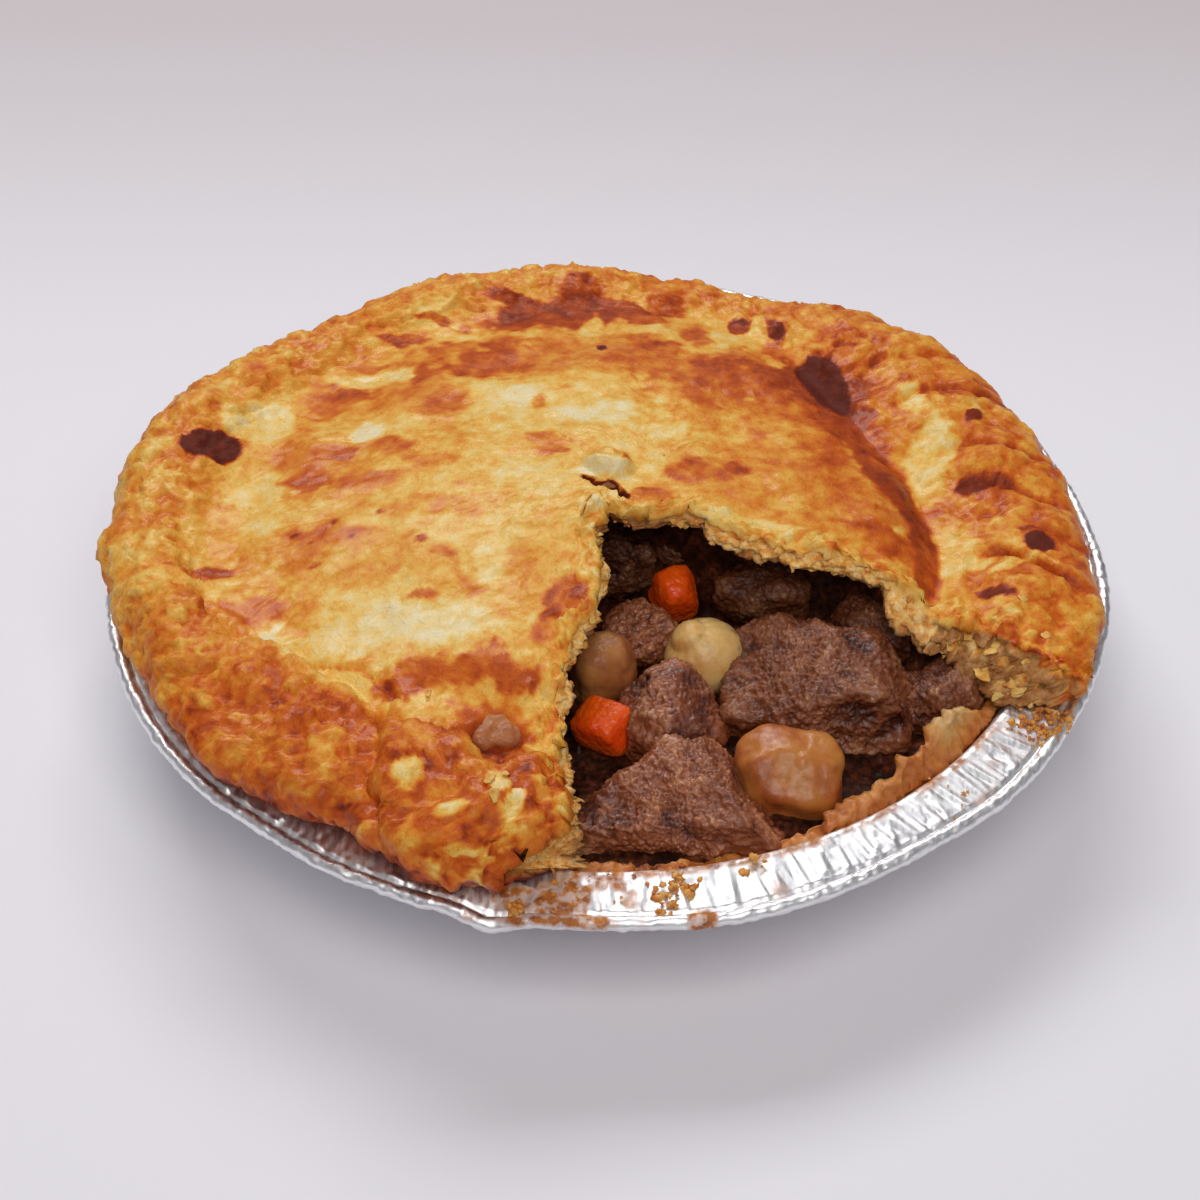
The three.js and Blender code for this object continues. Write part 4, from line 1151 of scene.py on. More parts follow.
def case_bake(mesh):
    """Soaked and brown below, toasted orange on the torn edge, pale at its broken end."""
    points = read_points(mesh)
    bake = 0.62 + layered(points, (0.1, 7.0, 98), (0.09, 2.6, 99))
    end = smooth(np.abs(polar(points)[1] + 36.0), 6.5, 2.5) * smooth(points[:, 2], 28.0, 31.5)
    bake = lerp(bake, 0.2, end * 0.9)
    return np.clip(bake + 0.15 * smooth(points[:, 2], 25.0, 21.0), 0.0, 1.0)


def soaked_finish():
    """Base pastry that has taken up gravy: orange-brown, moist and uneven."""
    finish = Finish("soaked_pastry")
    bake = finish.sum("ADD", finish.value("bake"), finish.fit(finish.noise(1.6, 4.0), 0.25, 0.75, -0.12, 0.12,
                                                              soft=False))
    tone = finish.ramp(bake, [
        (0.05, shade(226, 200, 152)), (0.3, shade(218, 166, 96)), (0.5, shade(212, 140, 62)),
        (0.68, shade(194, 108, 40)), (0.82, shade(138, 70, 30)), (1.0, shade(70, 36, 20)),
    ])
    finish.set(Base_Color=tone, Roughness=finish.fit(finish.noise(2.0, 3.0), 0.3, 0.7, 0.32, 0.6),
               Specular_IOR_Level=0.5, Subsurface_Weight=0.2, Subsurface_Scale=2.0 * MM,
               Subsurface_Radius=(1.0, 0.55, 0.3), Coat_Weight=0.2, Coat_Roughness=0.2,
               Normal=finish.bump(finish.noise(0.9, 5.0, 0.65), 0.35, 0.9))
    return finish.material


# ---- filling -------------------------------------------------------------------------------------

FILLING_AZIMUTHS = ((-114.0, -12.0, 330), (-12.0, 246.0, 60))   # start, end, columns
FILLING_ROWS = 150


def behind_cut(radius, azimuth):
    """Distance of a place behind the nearer cut face, positive under the lid."""
    turned = np.where(azimuth < -120.0, azimuth + 360.0, azimuth)
    right = np.radians(turned - along(RIGHT_CUT, radius, 1))
    left = np.radians(along(LEFT_CUT, radius, 1) - turned)
    reach = [np.where(angle < math.pi / 2, radius * np.sin(angle), radius) for angle in (right, left)]
    return np.minimum(*reach)


def filling_mesh():
    """The whole filling, with a pool of gravy in the missing slice and a lumpy bank behind it."""
    azimuth = spread(FILLING_AZIMUTHS)[None, :]
    edge = tin_inside(GRAVY_LEVEL) - CASE_WALL + 0.2
    radius = np.linspace(0.0, 1.0, FILLING_ROWS + 1)[1:, None] * edge
    under = lid_underside(radius, azimuth) - GAP - 0.3
    level = GRAVY_LEVEL + 0.8 * np.sin(radius * 0.31 + azimuth * 0.13)
    behind = behind_cut(radius, azimuth)
    bank = smooth(behind, BANK_START, BANK_START + BANK_WIDTH)
    base = place(radius, azimuth, 0.0 * behind)
    lump = 2.6 * (0.62 - cells(base + (0, 0, 4.0), 9.5, 101))
    small = 1.1 * (0.55 - cells(base, 4.2, 102))
    bits = 0.9 * smooth(cells(base, 3.1, 103), 0.36, 0.1)
    grain = layered(base, (0.4, 2.0, 104), (0.22, 0.95, 105))
    slope = smooth(behind, -5.0, 3.0)
    height = lerp(level, under, bank) + slope * (lump + small) + (0.35 + 0.65 * slope) * grain
    height += (1.0 - slope) * (bits + 0.5 * small)
    height = np.minimum(height, under)
    near_wall = smooth(radius, edge - 3.0, edge)
    brim = np.minimum(GRAVY_LEVEL + 0.4, TIN_HEIGHT + along(CASE_EDGE, azimuth, 1) - 0.6)
    height = lerp(height, np.minimum(height, brim), near_wall)
    shape = Shape()
    pole = shape.add(np.array([[0.0, 0.0, lid_underside(np.array(0.0), np.array(90.0)) - 6.0]]))
    rows = [place(radius, azimuth, height)]
    floor = CASE_FLOOR + FOIL + 2 * GAP
    foot = TIN_FOOT_RADIUS - CASE_WALL - 3.2
    for ring_radius, z in ((edge - 0.4, 18.0), (foot, floor + 0.3), (30.0, floor)):
        rows.append(place(np.array([[ring_radius]]), azimuth, np.full_like(azimuth, z)))
    numbers = shape.add(np.concatenate(rows))
    shape.fan(pole[0], numbers[0], closed=True)
    shape.grid(numbers, closed=True)
    bottom = shape.add(np.array([[0.0, 0.0, floor]]))
    shape.fan(bottom[0], numbers[-1], closed=True)
    return shape.mesh("gravy_and_filling")


def gravy_finish(colours):
    """Dark glossy gravy with reddish meat showing through."""
    finish = Finish("dark_gravy")
    share = finish.sum("ADD", finish.noise(5.0, 4.0, 0.6),
                       finish.fit(finish.noise(1.2, 3.0), 0.3, 0.7, -0.1, 0.1))
    tone = finish.ramp(share, [
        (0.36, shade(34, 14, 8)), (0.5, tuple(colours.gravy)), (0.62, shade(86, 40, 22)),
        (0.74, shade(118, 62, 38)), (0.86, shade(150, 92, 58)),
    ])
    finish.set(Base_Color=tone, Roughness=finish.fit(finish.noise(2.5, 3.0), 0.3, 0.7, 0.3, 0.55),
               Specular_IOR_Level=0.14, Normal=finish.bump(finish.noise(1.1, 4.0, 0.6), 0.25, 0.6))
    return finish.material


# ---- pieces of food ------------------------------------------------------------------------------

# Pieces in the missing slice: name, centre with its height over the bead, half sizes, turn about
# the vertical, tilt, squareness, lumps, seed, kind and flat sides as (direction, distance).
CHUNKS = [
    ("pearl_onion", (19.5, -26.5, -0.5), (8.2, 8.0, 8.0), 20, 10, 2.0, 0.02, 1, "onion", ()),
    ("potato_piece", (35.0, -58.5, -2.5), (10.6, 8.8, 8.2), -8, 12, 3.0, 0.05, 2, "potato",
     (((0.2, -0.5, 0.84), 8.2), ((-0.8, -0.5, 0.3), 9.6))),
    ("carrot_piece_back", (13.8, -8.0, 0.0), (4.4, 4.4, 6.4), 25, 18, 4.0, 0.03, 3, "carrot",
     (((0.75, -0.4, 0.5), 4.6), ((-0.7, -0.3, -0.65), 5.2))),
    ("carrot_piece_front", (-0.6, -46.0, -1.0), (6.0, 4.6, 4.4), -28, 15, 4.0, 0.03, 4, "carrot",
     (((0.85, -0.2, 0.5), 5.4), ((-0.5, 0.0, 0.87), 4.8))),
    ("onion_piece", (-0.8, -29.5, -1.5), (6.6, 6.4, 8.4), 10, 0, 2.4, 0.04, 5, "onion half", ()),
    ("beef_piece_right", (40.5, -36.0, -1.5), (20.0, 13.6, 10.4), -14, 8, 3.4, 0.07, 6, "half-shaded beef",
     (((-0.35, -0.1, 0.93), 9.4), ((0.3, -0.9, 0.3), 11.6), ((0.8, 0.3, 0.5), 16.5),
      ((-0.97, -0.2, 0.1), 17.5))),
    ("beef_piece_front", (13.5, -67.0, -3.5), (21.0, 13.4, 10.0), -10, 6, 3.6, 0.06, 7, "beef",
     (((-0.12, -0.3, 0.94), 8.6), ((0.05, -0.98, 0.12), 10.2), ((0.66, 0.4, 0.62), 12.0),
      ((-0.66, 0.5, 0.55), 11.5))),
    ("beef_piece_middle", (12.5, -44.5, -1.0), (10.0, 10.0, 8.4), 30, 10, 3.0, 0.1, 8, "beef",
     (((0.7, -0.3, 0.65), 7.8), ((-0.6, 0.2, 0.77), 7.6))),
    ("beef_piece_small", (6.8, -18.6, -1.5), (7.2, 6.0, 5.6), 15, 0, 2.6, 0.2, 9, "beef", ()),
    ("beef_piece_edge", (65.0, -36.0, -3.0), (8.4, 7.0, 6.4), 20, 0, 2.6, 0.2, 10, "half-shaded beef", ()),
    ("filling_on_crust", (-21.5, -62.2, 11.3), (5.4, 4.6, 2.8), 20, 0, 2.6, 0.05, 11, "lump", ()),
]
# Beef that only shows in the dark under the crust: centre over the bead, half sizes, turn, seed.
HIDDEN_BEEF = [
    ((1.5, 3.5, 0.5), (8.4, 6.5, 7.2), 10, 21), ((17.5, 4.5, 0.0), (8.0, 6.0, 7.4), -20, 22),
    ((32.0, -9.0, 2.0), (9.0, 6.5, 6.6), -15, 23), ((54.0, -19.5, 1.0), (9.5, 6.5, 6.6), -30, 24),
    ((70.0, -33.0, -1.5), (6.0, 5.0, 5.4), 10, 25),
]
FOOD_LEVEL = 6            # subdivisions of the ball that a piece is made from
LARGE_BEEF_LEVEL = 7
LARGE_BEEF = 12.0         # half length from which a piece of beef is large


def round_mesh(name, level):
    work = bmesh.new()
    bmesh.ops.create_icosphere(work, subdivisions=level, radius=1.0)
    mesh = bpy.data.meshes.new(name)
    work.to_mesh(mesh)
    work.free()
    return mesh


def lumpiness(toward, seed):
    x, y, z = toward.T
    first = np.sin(3.1 * x + 1.7 * seed) * np.cos(2.7 * y - 0.9 * seed)
    second = np.sin(5.3 * z + 2.3 * seed + 2.0 * x)
    third = np.cos(6.1 * y + 1.1 * seed) * np.sin(4.9 * x - seed)
    return (first + 0.6 * second + 0.5 * third) / 2.1


def chunk_mesh(name, centre, half, turn, tilt, power, lumps, seed, flats, level, surface):
    """A rounded block of food with flat sides, its surface raised by `surface`."""
    mesh = round_mesh(name, level)
    toward = read_points(mesh) * MM
    toward /= np.linalg.norm(toward, axis=1)[:, None]
    reach = (np.abs(toward / np.array(half)) ** power).sum(axis=1) ** (-1.0 / power)
    reach *= 1.0 + lumps * lumpiness(toward, seed)
    for direction, distance in flats:
        facing = toward @ (np.array(direction) / np.linalg.norm(direction))
        limit = distance / np.maximum(facing, 0.05)
        reach = -np.log(np.exp(-reach * 2.2) + np.exp(-limit * 2.2)) / 2.2
    write_points(mesh, toward * reach[:, None])
    raised = surface(read_points(mesh) + seed * 17.0, toward)
    push(mesh, raised)
    write_values(mesh, "raised", raised)
    turned = Matrix.Rotation(math.radians(turn), 3, "Z") @ Matrix.Rotation(math.radians(tilt), 3, "X")
    points = read_points(mesh) @ np.array(turned).T + np.array(centre) + (0.0, 0.0, TIN_HEIGHT)
    write_points(mesh, points)
    return mesh


def beef_surface(grain):
    """Torn, nodular meat whose fibres run along the piece."""
    def surface(points, toward):
        raised = layered(points, (1.3, 9.0, 111), (1.0, 4.6, 112))
        bent = points * (0.4, 1.0, 0.8) + 0.6 * noise(points, 1.8, 117)[:, None]
        raised += grain * 0.8 * (0.35 - np.abs(noise(bent, 2.6, 113)))
        raised += grain * 0.6 * (0.35 - np.abs(noise(bent, 1.2, 114)))
        return raised + grain * layered(points, (0.6, 1.1, 115), (0.5, 0.6, 118))
    return surface


def onion_surface(points, toward):
    tip = smooth(toward @ np.array((-0.5, 0.25, 0.83)), 0.86, 1.0)
    turn = np.arctan2(toward[:, 1] - 0.25, toward[:, 0] + 0.5)
    veins = 0.05 * np.sin(turn * 17.0 + 2.0 * noise(points, 6.0, 121))
    return 1.5 * tip + veins + layered(points, (0.3, 5.5, 122), (0.03, 1.3, 123))


def potato_surface(points, toward):
    strands = 0.12 * noise(points * (1.0, 1.0, 0.25), 1.6, 131)
    film = 0.3 * smooth(noise(points, 4.5, 132), 0.0, 0.5)
    return strands + film + layered(points, (0.8, 6.0, 133), (0.12, 2.6, 135))


def carrot_surface(points, toward):
    return layered(points, (0.35, 3.6, 141), (0.16, 1.2, 142), (0.1, 0.6, 143))


def lump_surface(points, toward):
    return layered(points, (1.1, 5.0, 151), (0.4, 2.2, 152), (0.1, 0.9, 153))


def beef_finish(colours, name, light):
    """Stewed beef: brown with moist glints, darker in its hollows with gravy and painted shade, paler on its
    ridges with sinew and painted light. A `light` below 1 makes a copy in painted shade.
    """
    finish = Finish(name)
    raised = finish.value("raised")
    # Painted light and shade: the raised value darkens the hollows, together with gravy, and pales the
    # ridges.
    share = finish.sum("ADD", finish.fit(raised, -1.1, 1.1, 0.2, 0.74, soft=False),
                       finish.fit(finish.noise(1.6, 5.0, 0.66), 0.25, 0.75, -0.3, 0.3, soft=False))
    tone = finish.ramp(share, [
        (0.1, shade(50, 20, 10, light)), (0.28, shade(98, 48, 30, light)),
        (0.48, tuple(light * value for value in colours.beef)), (0.68, shade(182, 114, 76, light)),
        (0.92, shade(222, 168, 118, light)),
    ])
    warm = finish.mix(finish.fit(finish.noise(7.0, 3.0), 0.4, 0.68), tone, shade(144, 76, 40, light))
    violet = finish.mix(finish.fit(finish.noise(9.0, 2.0), 0.5, 0.7, 0.0, 0.45), warm,
                        shade(108, 58, 50, light))
    finish.set(Base_Color=violet, Roughness=finish.fit(finish.noise(1.2, 3.0), 0.35, 0.65, 0.26, 0.5),
               Specular_IOR_Level=0.45 * light, Coat_Weight=0.35 * light, Coat_Roughness=0.16,
               Normal=finish.bump(finish.noise(1.3, 3.0, 0.65), 0.5, 1.0))
    return finish.material


def vegetable_finish(name, inner, outer, film, film_low, veins, dull=0.0):
    """Soft wet vegetable with a film of gravy: two colours in soft patches, faint strands."""
    finish = Finish(name)
    strands = finish.noise(1.4, 3.0, place=finish.stretched(veins))
    tone = finish.mix(finish.fit(finish.noise(7.0, 2.0), 0.35, 0.65), inner, outer)
    tone = finish.mix(finish.fit(strands, 0.42, 0.62, 0.0, 0.25), tone, outer)
    gravy = finish.fit(finish.noise(7.0, 3.0, 0.55), film_low, film_low + 0.2, 0.0, 0.8)
    tone = finish.mix(gravy, tone, film)
    gloss = finish.fit(finish.noise(1.8, 3.0), 0.3, 0.7, 0.22 + dull, 0.44 + dull)
    finish.set(Base_Color=tone, Roughness=gloss, Specular_IOR_Level=0.42,
               Subsurface_Weight=0.3, Subsurface_Scale=3.0 * MM, Subsurface_Radius=(1.0, 0.6, 0.35),
               Normal=finish.bump(finish.noise(0.7, 4.0), 0.12, 0.7))
    return finish.material


# ---- crumbs and flakes ---------------------------------------------------------------------------

def scatter_tree():
    """Stands shapes on the points of a mesh, each with its own turn, size and wobble."""
    tree = bpy.data.node_groups.new("scatter", "GeometryNodeTree")
    inputs = {}
    for name, kind in (("Points", "Geometry"), ("Shapes", "Collection"), ("Size", "Float"),
                       ("Spread", "Float"), ("Wobble", "Float"), ("Seed", "Int"), ("Material", "Material")):
        inputs[name] = tree.interface.new_socket(name, in_out="INPUT", socket_type="NodeSocket" + kind)
    tree.interface.new_socket("Pieces", in_out="OUTPUT", socket_type="NodeSocketGeometry")

    def node(kind, inputs=(), **settings):
        return add_node(tree, kind, inputs, **settings).outputs

    def maths(kind, *values):
        return node("ShaderNodeMath", enumerate(values), operation=kind)[0]

    def named(name, kind):
        return node("GeometryNodeInputNamedAttribute", {"Name": name}, data_type=kind)["Attribute"]

    given = node("NodeGroupInput")
    shapes = node("GeometryNodeCollectionInfo", {
        "Collection": given["Shapes"], "Separate Children": True, "Reset Children": True})
    upright = node("FunctionNodeAlignRotationToVector", {"Vector": named("facing", "FLOAT_VECTOR")}, axis="Z")
    spin = node("FunctionNodeRandomValue", {"Max": 2.0 * math.pi, "Seed": given["Seed"]}, data_type="FLOAT")
    spun = node("FunctionNodeAxisAngleToRotation", {"Angle": spin["Value"]})
    turn = node("FunctionNodeRotateRotation", {
        "Rotation": upright["Rotation"], "Rotate By": spun["Rotation"]}, rotation_space="LOCAL")
    change = node("FunctionNodeRandomValue", {"Min": -1.0, "Seed": maths("ADD", given["Seed"], 5.0)},
                  data_type="FLOAT")
    size = maths("MULTIPLY_ADD", change["Value"], given["Spread"], 1.0)
    size = maths("MULTIPLY", maths("MULTIPLY", size, given["Size"]), named("grow", "FLOAT"))
    pick = node("FunctionNodeRandomValue", {"Max": 1000, "Seed": maths("ADD", given["Seed"], 9.0)},
                data_type="INT")
    stand = node("GeometryNodeInstanceOnPoints", {
        "Points": given["Points"], "Instance": shapes["Instances"], "Pick Instance": True,
        "Instance Index": pick["Value"], "Rotation": turn["Rotation"], "Scale": size})
    real = node("GeometryNodeRealizeInstances", {"Geometry": stand["Instances"]})
    position = node("GeometryNodeInputPosition")["Position"]
    wobble = node("ShaderNodeTexNoise", {"Vector": position, "Scale": maths("DIVIDE", 1.1, given["Size"])})
    centred = node("ShaderNodeVectorMath", {0: wobble["Color"], 1: (0.5, 0.5, 0.5)}, operation="SUBTRACT")
    shift = node("ShaderNodeVectorMath", {
        0: centred[0], "Scale": maths("MULTIPLY", given["Wobble"], given["Size"])}, operation="SCALE")
    moved = node("GeometryNodeSetPosition", {"Geometry": real["Geometry"], "Offset": shift[0]})
    painted = node("GeometryNodeSetMaterial", {"Geometry": moved["Geometry"], "Material": given["Material"]})
    node("NodeGroupOutput", {"Pieces": painted["Geometry"]})
    return tree, inputs


def crumb_shapes():
    """Four rough lumps, one unit across."""
    meshes = []
    for number in range(4):
        mesh = round_mesh("crumb", 2)
        toward = read_points(mesh) * MM
        reach = 0.5 * (1.0 + 0.9 * noise(toward + number * 9.0, 0.7, 161 + number))
        write_points(mesh, toward * reach[:, None] * (1.0, 0.8, 0.6) / MM)
        meshes.append(mesh)
    return meshes


FLAKE_RINGS, FLAKE_SPOKES = 4, 16
FLAKE_THICKNESS = 0.028   # half of it, in parts of the flake's width


def flake_mesh(seed):
    """A thin shard of pastry about one unit across, bent and crumpled."""
    draw = np.random.default_rng(seed)
    angle = np.arange(FLAKE_SPOKES) * 2.0 * math.pi / FLAKE_SPOKES
    sides = draw.integers(4, 7)
    facing = (np.arange(sides) + draw.uniform(-0.3, 0.3, sides))[:, None] * 2.0 * math.pi / sides
    away = draw.uniform(0.22, 0.46, sides)[:, None]
    jagged = (away / np.maximum(np.cos(angle - facing), 0.3)).min(axis=0)
    jagged = np.minimum(jagged, 0.62) * (1.0 + draw.uniform(-0.1, 0.1, FLAKE_SPOKES))
    rings = (np.arange(FLAKE_RINGS) + 1.0)[:, None] / FLAKE_RINGS
    stretch = draw.uniform(0.55, 0.95)
    x = rings * jagged * np.cos(angle)
    y = rings * jagged * np.sin(angle) * stretch
    bend, twist = draw.uniform(-0.5, 0.9), draw.uniform(-0.5, 0.5)
    z = bend * x * x + twist * x * y + 0.08 * noise(np.stack([x, y, 0.0 * x], axis=-1), 0.3, seed)
    thickness = FLAKE_THICKNESS * (1.0 - 0.5 * rings ** 2)
    shape = Shape()
    sheets, centres = [], []
    for side in (1.0, -1.0):
        sheets.append(shape.add(np.stack([x, y, z + side * thickness], axis=-1)))
        centres.append(shape.add(np.array([[0.0, 0.0, side * FLAKE_THICKNESS]])))
        shape.grid(sheets[-1], closed=True)
        shape.fan(centres[-1][0], sheets[-1][0], closed=True)
    shape.grid(np.stack([sheets[0][-1], sheets[1][-1]]), closed=True)
    mesh = shape.mesh("flake")
    write_points(mesh, read_points(mesh) / MM)
    return mesh


def flake_shapes():
    """Six torn sheets of pastry, one unit across."""
    return [flake_mesh(171 + number) for number in range(6)]


FLAKE_SIZE = 4.2          # in crumbs
SIZE_SPREAD = 0.55        # how far crumbs and flakes differ from their size


def scattered(name, spots, facings, grow, meshes, material, size, wobble, seed, slot):
    """One plain mesh of shapes standing on the given spots, which are in millimetres."""
    points = bpy.data.meshes.new(name)
    points.vertices.add(len(spots))
    points.vertices.foreach_set("co", (np.asarray(spots) * MM).reshape(-1))
    points.attributes.new("facing", "FLOAT_VECTOR", "POINT").data.foreach_set(
        "vector", np.asarray(facings, np.float32).reshape(-1))
    write_values(points, "grow", grow)
    carrier = bpy.data.objects.new(name + "_points", points)
    bpy.context.scene.collection.objects.link(carrier)
    collection = bpy.data.collections.new(name + "_shapes")
    shapes = [bpy.data.objects.new("shape", mesh) for mesh in meshes]
    for shape in shapes:
        collection.objects.link(shape)
    tree, inputs = scatter_tree()
    modifier = carrier.modifiers.new("scatter", "NODES")
    modifier.node_group = tree
    for key, value in (("Shapes", collection), ("Size", size * MM), ("Spread", SIZE_SPREAD),
                       ("Wobble", wobble), ("Seed", seed), ("Material", material)):
        modifier[inputs[key].identifier] = value
    graph = bpy.context.evaluated_depsgraph_get()
    mesh = bpy.data.meshes.new_from_object(carrier.evaluated_get(graph), depsgraph=graph)
    for leftover in (carrier, *shapes):
        bpy.data.objects.remove(leftover)
    bpy.data.collections.remove(collection)
    return finish_piece(mesh, name, material)


def on_top(piece, x, y):
    """The highest place of a piece above a spot in plan, and its normal."""
    hit, where, normal, _ = piece.ray_cast(Vector((x * MM, y * MM, 0.2)), Vector((0.0, 0.0, -1.0)))
    return (np.array(where) / MM, np.array(normal)) if hit else None


PALE_CRUMB = [(0.3, shade(168, 78, 22)), (0.42, shade(208, 124, 44)), (0.56, shade(232, 168, 82)),
              (0.75, shade(246, 212, 146))]
TOASTED_CRUMB = [(0.3, shade(196, 108, 36)), (0.42, shade(222, 154, 64)), (0.56, shade(234, 188, 96)),
                 (0.75, shade(242, 214, 150))]


def crumb_finish(name, stops):
    """Dry pastry crumb, mottled with the colours of a list of (place, colour)."""
    finish = Finish(name)
    tone = finish.ramp(finish.noise(2.6, 4.0, 0.65), stops)
    finish.set(Base_Color=tone, Roughness=0.6, Subsurface_Weight=0.15, Subsurface_Scale=1.0 * MM,
               Normal=finish.bump(finish.noise(0.4, 3.0), 0.15, 0.8))
    return finish.material


# Where crumbs have fallen on the foil: x, y, spread, how many, size.
CRUMB_CLUSTERS = [
    (11.7, -94.0, 1.8, 20, 1.3), (13.4, -90.4, 1.7, 12, 1.1), (11.5, -98.2, 1.0, 8, 1.1),
    (-8.0, -91.5, 3.4, 12, 0.7), (2.0, -91.2, 4.0, 10, 0.6), (-17.1, -97.2, 1.2, 10, 1.3),
    (27.8, -87.5, 1.2, 4, 1.3), (88.0, -46.0, 2.0, 40, 1.3), (83.0, -47.5, 2.2, 30, 1.1),
    (84.5, -51.0, 1.8, 20, 1.0), (50.0, -78.0, 8.0, 10, 0.5), (67.0, -68.0, 3.0, 8, 0.5),
]
FLANGE_TOP = TIN_HEIGHT + 1.9   # of its inner edge, from which it falls outwards
FLANGE_FALL = 0.15
EDGE_CRUMBS, EDGE_FLAKES = 150, 90   # how many cling to the torn edges
TORN_CRUMB = 0.4          # the crumb value from which a face counts as torn
# Flakes that lie on the crust: x, y, spread, how many, size.
FLAKE_CLUSTERS = [
    (-20.0, -81.0, 1.6, 2, 0.9), (-17.0, -87.0, 2.0, 2, 0.9), (-35.0, -54.0, 0.6, 1, 1.4),
    (78.0, -31.0, 4.0, 3, 0.8), (-5.0, -11.0, 2.0, 2, 1.2),
]


def edge_spots(lid, draw, count):
    """Places on the lid's torn faces, and which way they face."""
    mesh = lid.data
    points, normals = read_points(mesh), read_normals(mesh)
    crumb, face = read_values(mesh, "crumb"), read_values(mesh, "face")
    radius, azimuth = polar(points)
    in_slice = (azimuth > -112.0) & (azimuth < -8.0)
    torn = np.flatnonzero((face > 0.5) & (crumb > TORN_CRUMB) & in_slice & (radius > 2.0)
                          & (radius < 98.0) & (points[:, 2] > RIM_SEAT_HEIGHT + 0.5))
    chosen = draw.choice(torn, count)
    return points[chosen] + draw.normal(0.0, 0.25, (count, 3)), normals[chosen]


def crumb_spots(lid, draw):
    spots, facings = edge_spots(lid, draw, EDGE_CRUMBS)
    grow = draw.uniform(0.4, 1.2, len(spots))
    for x, y, reach, count, size in CRUMB_CLUSTERS:
        for _ in range(count):
            spot_x, spot_y = draw.normal(x, reach, 1)[0], draw.normal(y, reach, 1)[0]
            out = math.hypot(spot_x, spot_y)
            if out < FLANGE_INNER_RADIUS - 2.0 or out > TIN_RADIUS:
                continue
            height = FLANGE_TOP - FLANGE_FALL * max(out - 90.0, 0.0) + draw.uniform(0.0, 1.0) * size
            spots = np.vstack([spots, (spot_x, spot_y, height)])
            facings = np.vstack([facings, (0.0, 0.0, 1.0)])
            grow = np.append(grow, size * draw.uniform(0.7, 1.3))
    return spots, facings, grow


def flake_spots(lid, draw):
    spots, facings = edge_spots(lid, draw, EDGE_FLAKES)
    facings = facings + draw.normal(0.0, 0.4, facings.shape) + (0.0, 0.0, 0.9)
    grow = draw.uniform(0.35, 1.0, len(spots))
    for x, y, reach, count, size in FLAKE_CLUSTERS:
        for _ in range(count):
            hit = on_top(lid, draw.normal(x, reach), draw.normal(y, reach))
            if hit is None:
                continue
            spots = np.vstack([spots, hit[0] + hit[1] * 0.25])
            facings = np.vstack([facings, hit[1] + draw.normal(0.0, 0.16, 3)])
            grow = np.append(grow, size * draw.uniform(0.6, 1.2))
    return spots, facings, grow


# ---- stage ---------------------------------------------------------------------------------------

CAMERA_PLACE = (-1.475, -524.24, 466.765)
CAMERA_DOWN = math.radians(40.513)
CAMERA_ROLL = math.radians(0.340)
CAMERA_LENS = 100.0
CAMERA_SENSOR = 36.0
# The lights: name, place and target in metres, width, height, power and tint.
LIGHTS = [
    ("back_light", (-0.2, 0.85, 1.0), (0.0, 0.0, 0.0), 1.0, 0.5, 9.4, (1.0, 1.0, 1.0)),
    ("front_light", (0.1, -0.8, 1.2), (0.0, 0.0, 0.03), 1.0, 0.8, 8.6, (1.0, 0.98, 0.95)),
]
ROOM_COLOUR, ROOM_STRENGTH = (0.80, 0.79, 0.82, 1.0), 0.27
FLOOR_SIDE, FLOOR_FRONT, FLOOR_END = 3500.0, -2500.0, 1600.0   # from the middle, in millimetres
BACKDROP_BEND, BACKDROP_TOP = 900.0, 3200.0


def soft_light(name, place_now, target, width, height, power, tint):
    data = bpy.data.lights.new(name, "AREA")
    data.shape = "RECTANGLE"
    data.size, data.size_y, data.energy, data.color = width, height, power, tint
    light = bpy.data.objects.new(name, data)
    light.location = place_now
    aim = Vector(target) - Vector(place_now)
    light.rotation_euler = aim.to_track_quat("-Z", "Y").to_euler()
    bpy.context.scene.collection.objects.link(light)


def floor_and_backdrop(colours):
    """A plain pale floor that curves up far behind the pie, coloured darker towards the back as painted
    shade.
    """
    shape = Shape()
    side = np.linspace(-FLOOR_SIDE, FLOOR_SIDE, 9)
    run = [(FLOOR_FRONT, 0.0), (0.0, 0.0), (FLOOR_END, 0.0)]
    for angle in np.linspace(0.0, math.pi / 2, 14)[1:]:
        run.append((FLOOR_END + BACKDROP_BEND * math.sin(angle), BACKDROP_BEND * (1.0 - math.cos(angle))))
    run.append((FLOOR_END + BACKDROP_BEND, BACKDROP_TOP))
    grid = np.array([[(x, y, z) for x in side] for y, z in run])
    shape.grid(shape.add(grid))
    floor = bpy.data.objects.new("pale_floor", shape.mesh("pale_floor"))
    finish = Finish("pale_paper")
    far = finish.add("ShaderNodeSeparateXYZ", {0: finish.place})
    # Painted shade: the floor's colour darkens from 60 mm to 320 mm behind the middle.
    tone = finish.mix(finish.fit(far.outputs["Y"], 0.06, 0.32), tuple(colours.floor), shade(200, 192, 195))
    finish.set(Base_Color=tone, Roughness=0.75, Specular_IOR_Level=0.2)
    floor.data.materials.append(finish.material)
    floor.data.polygons.foreach_set("use_smooth", np.ones(len(floor.data.polygons), bool))
    bpy.context.scene.collection.objects.link(floor)


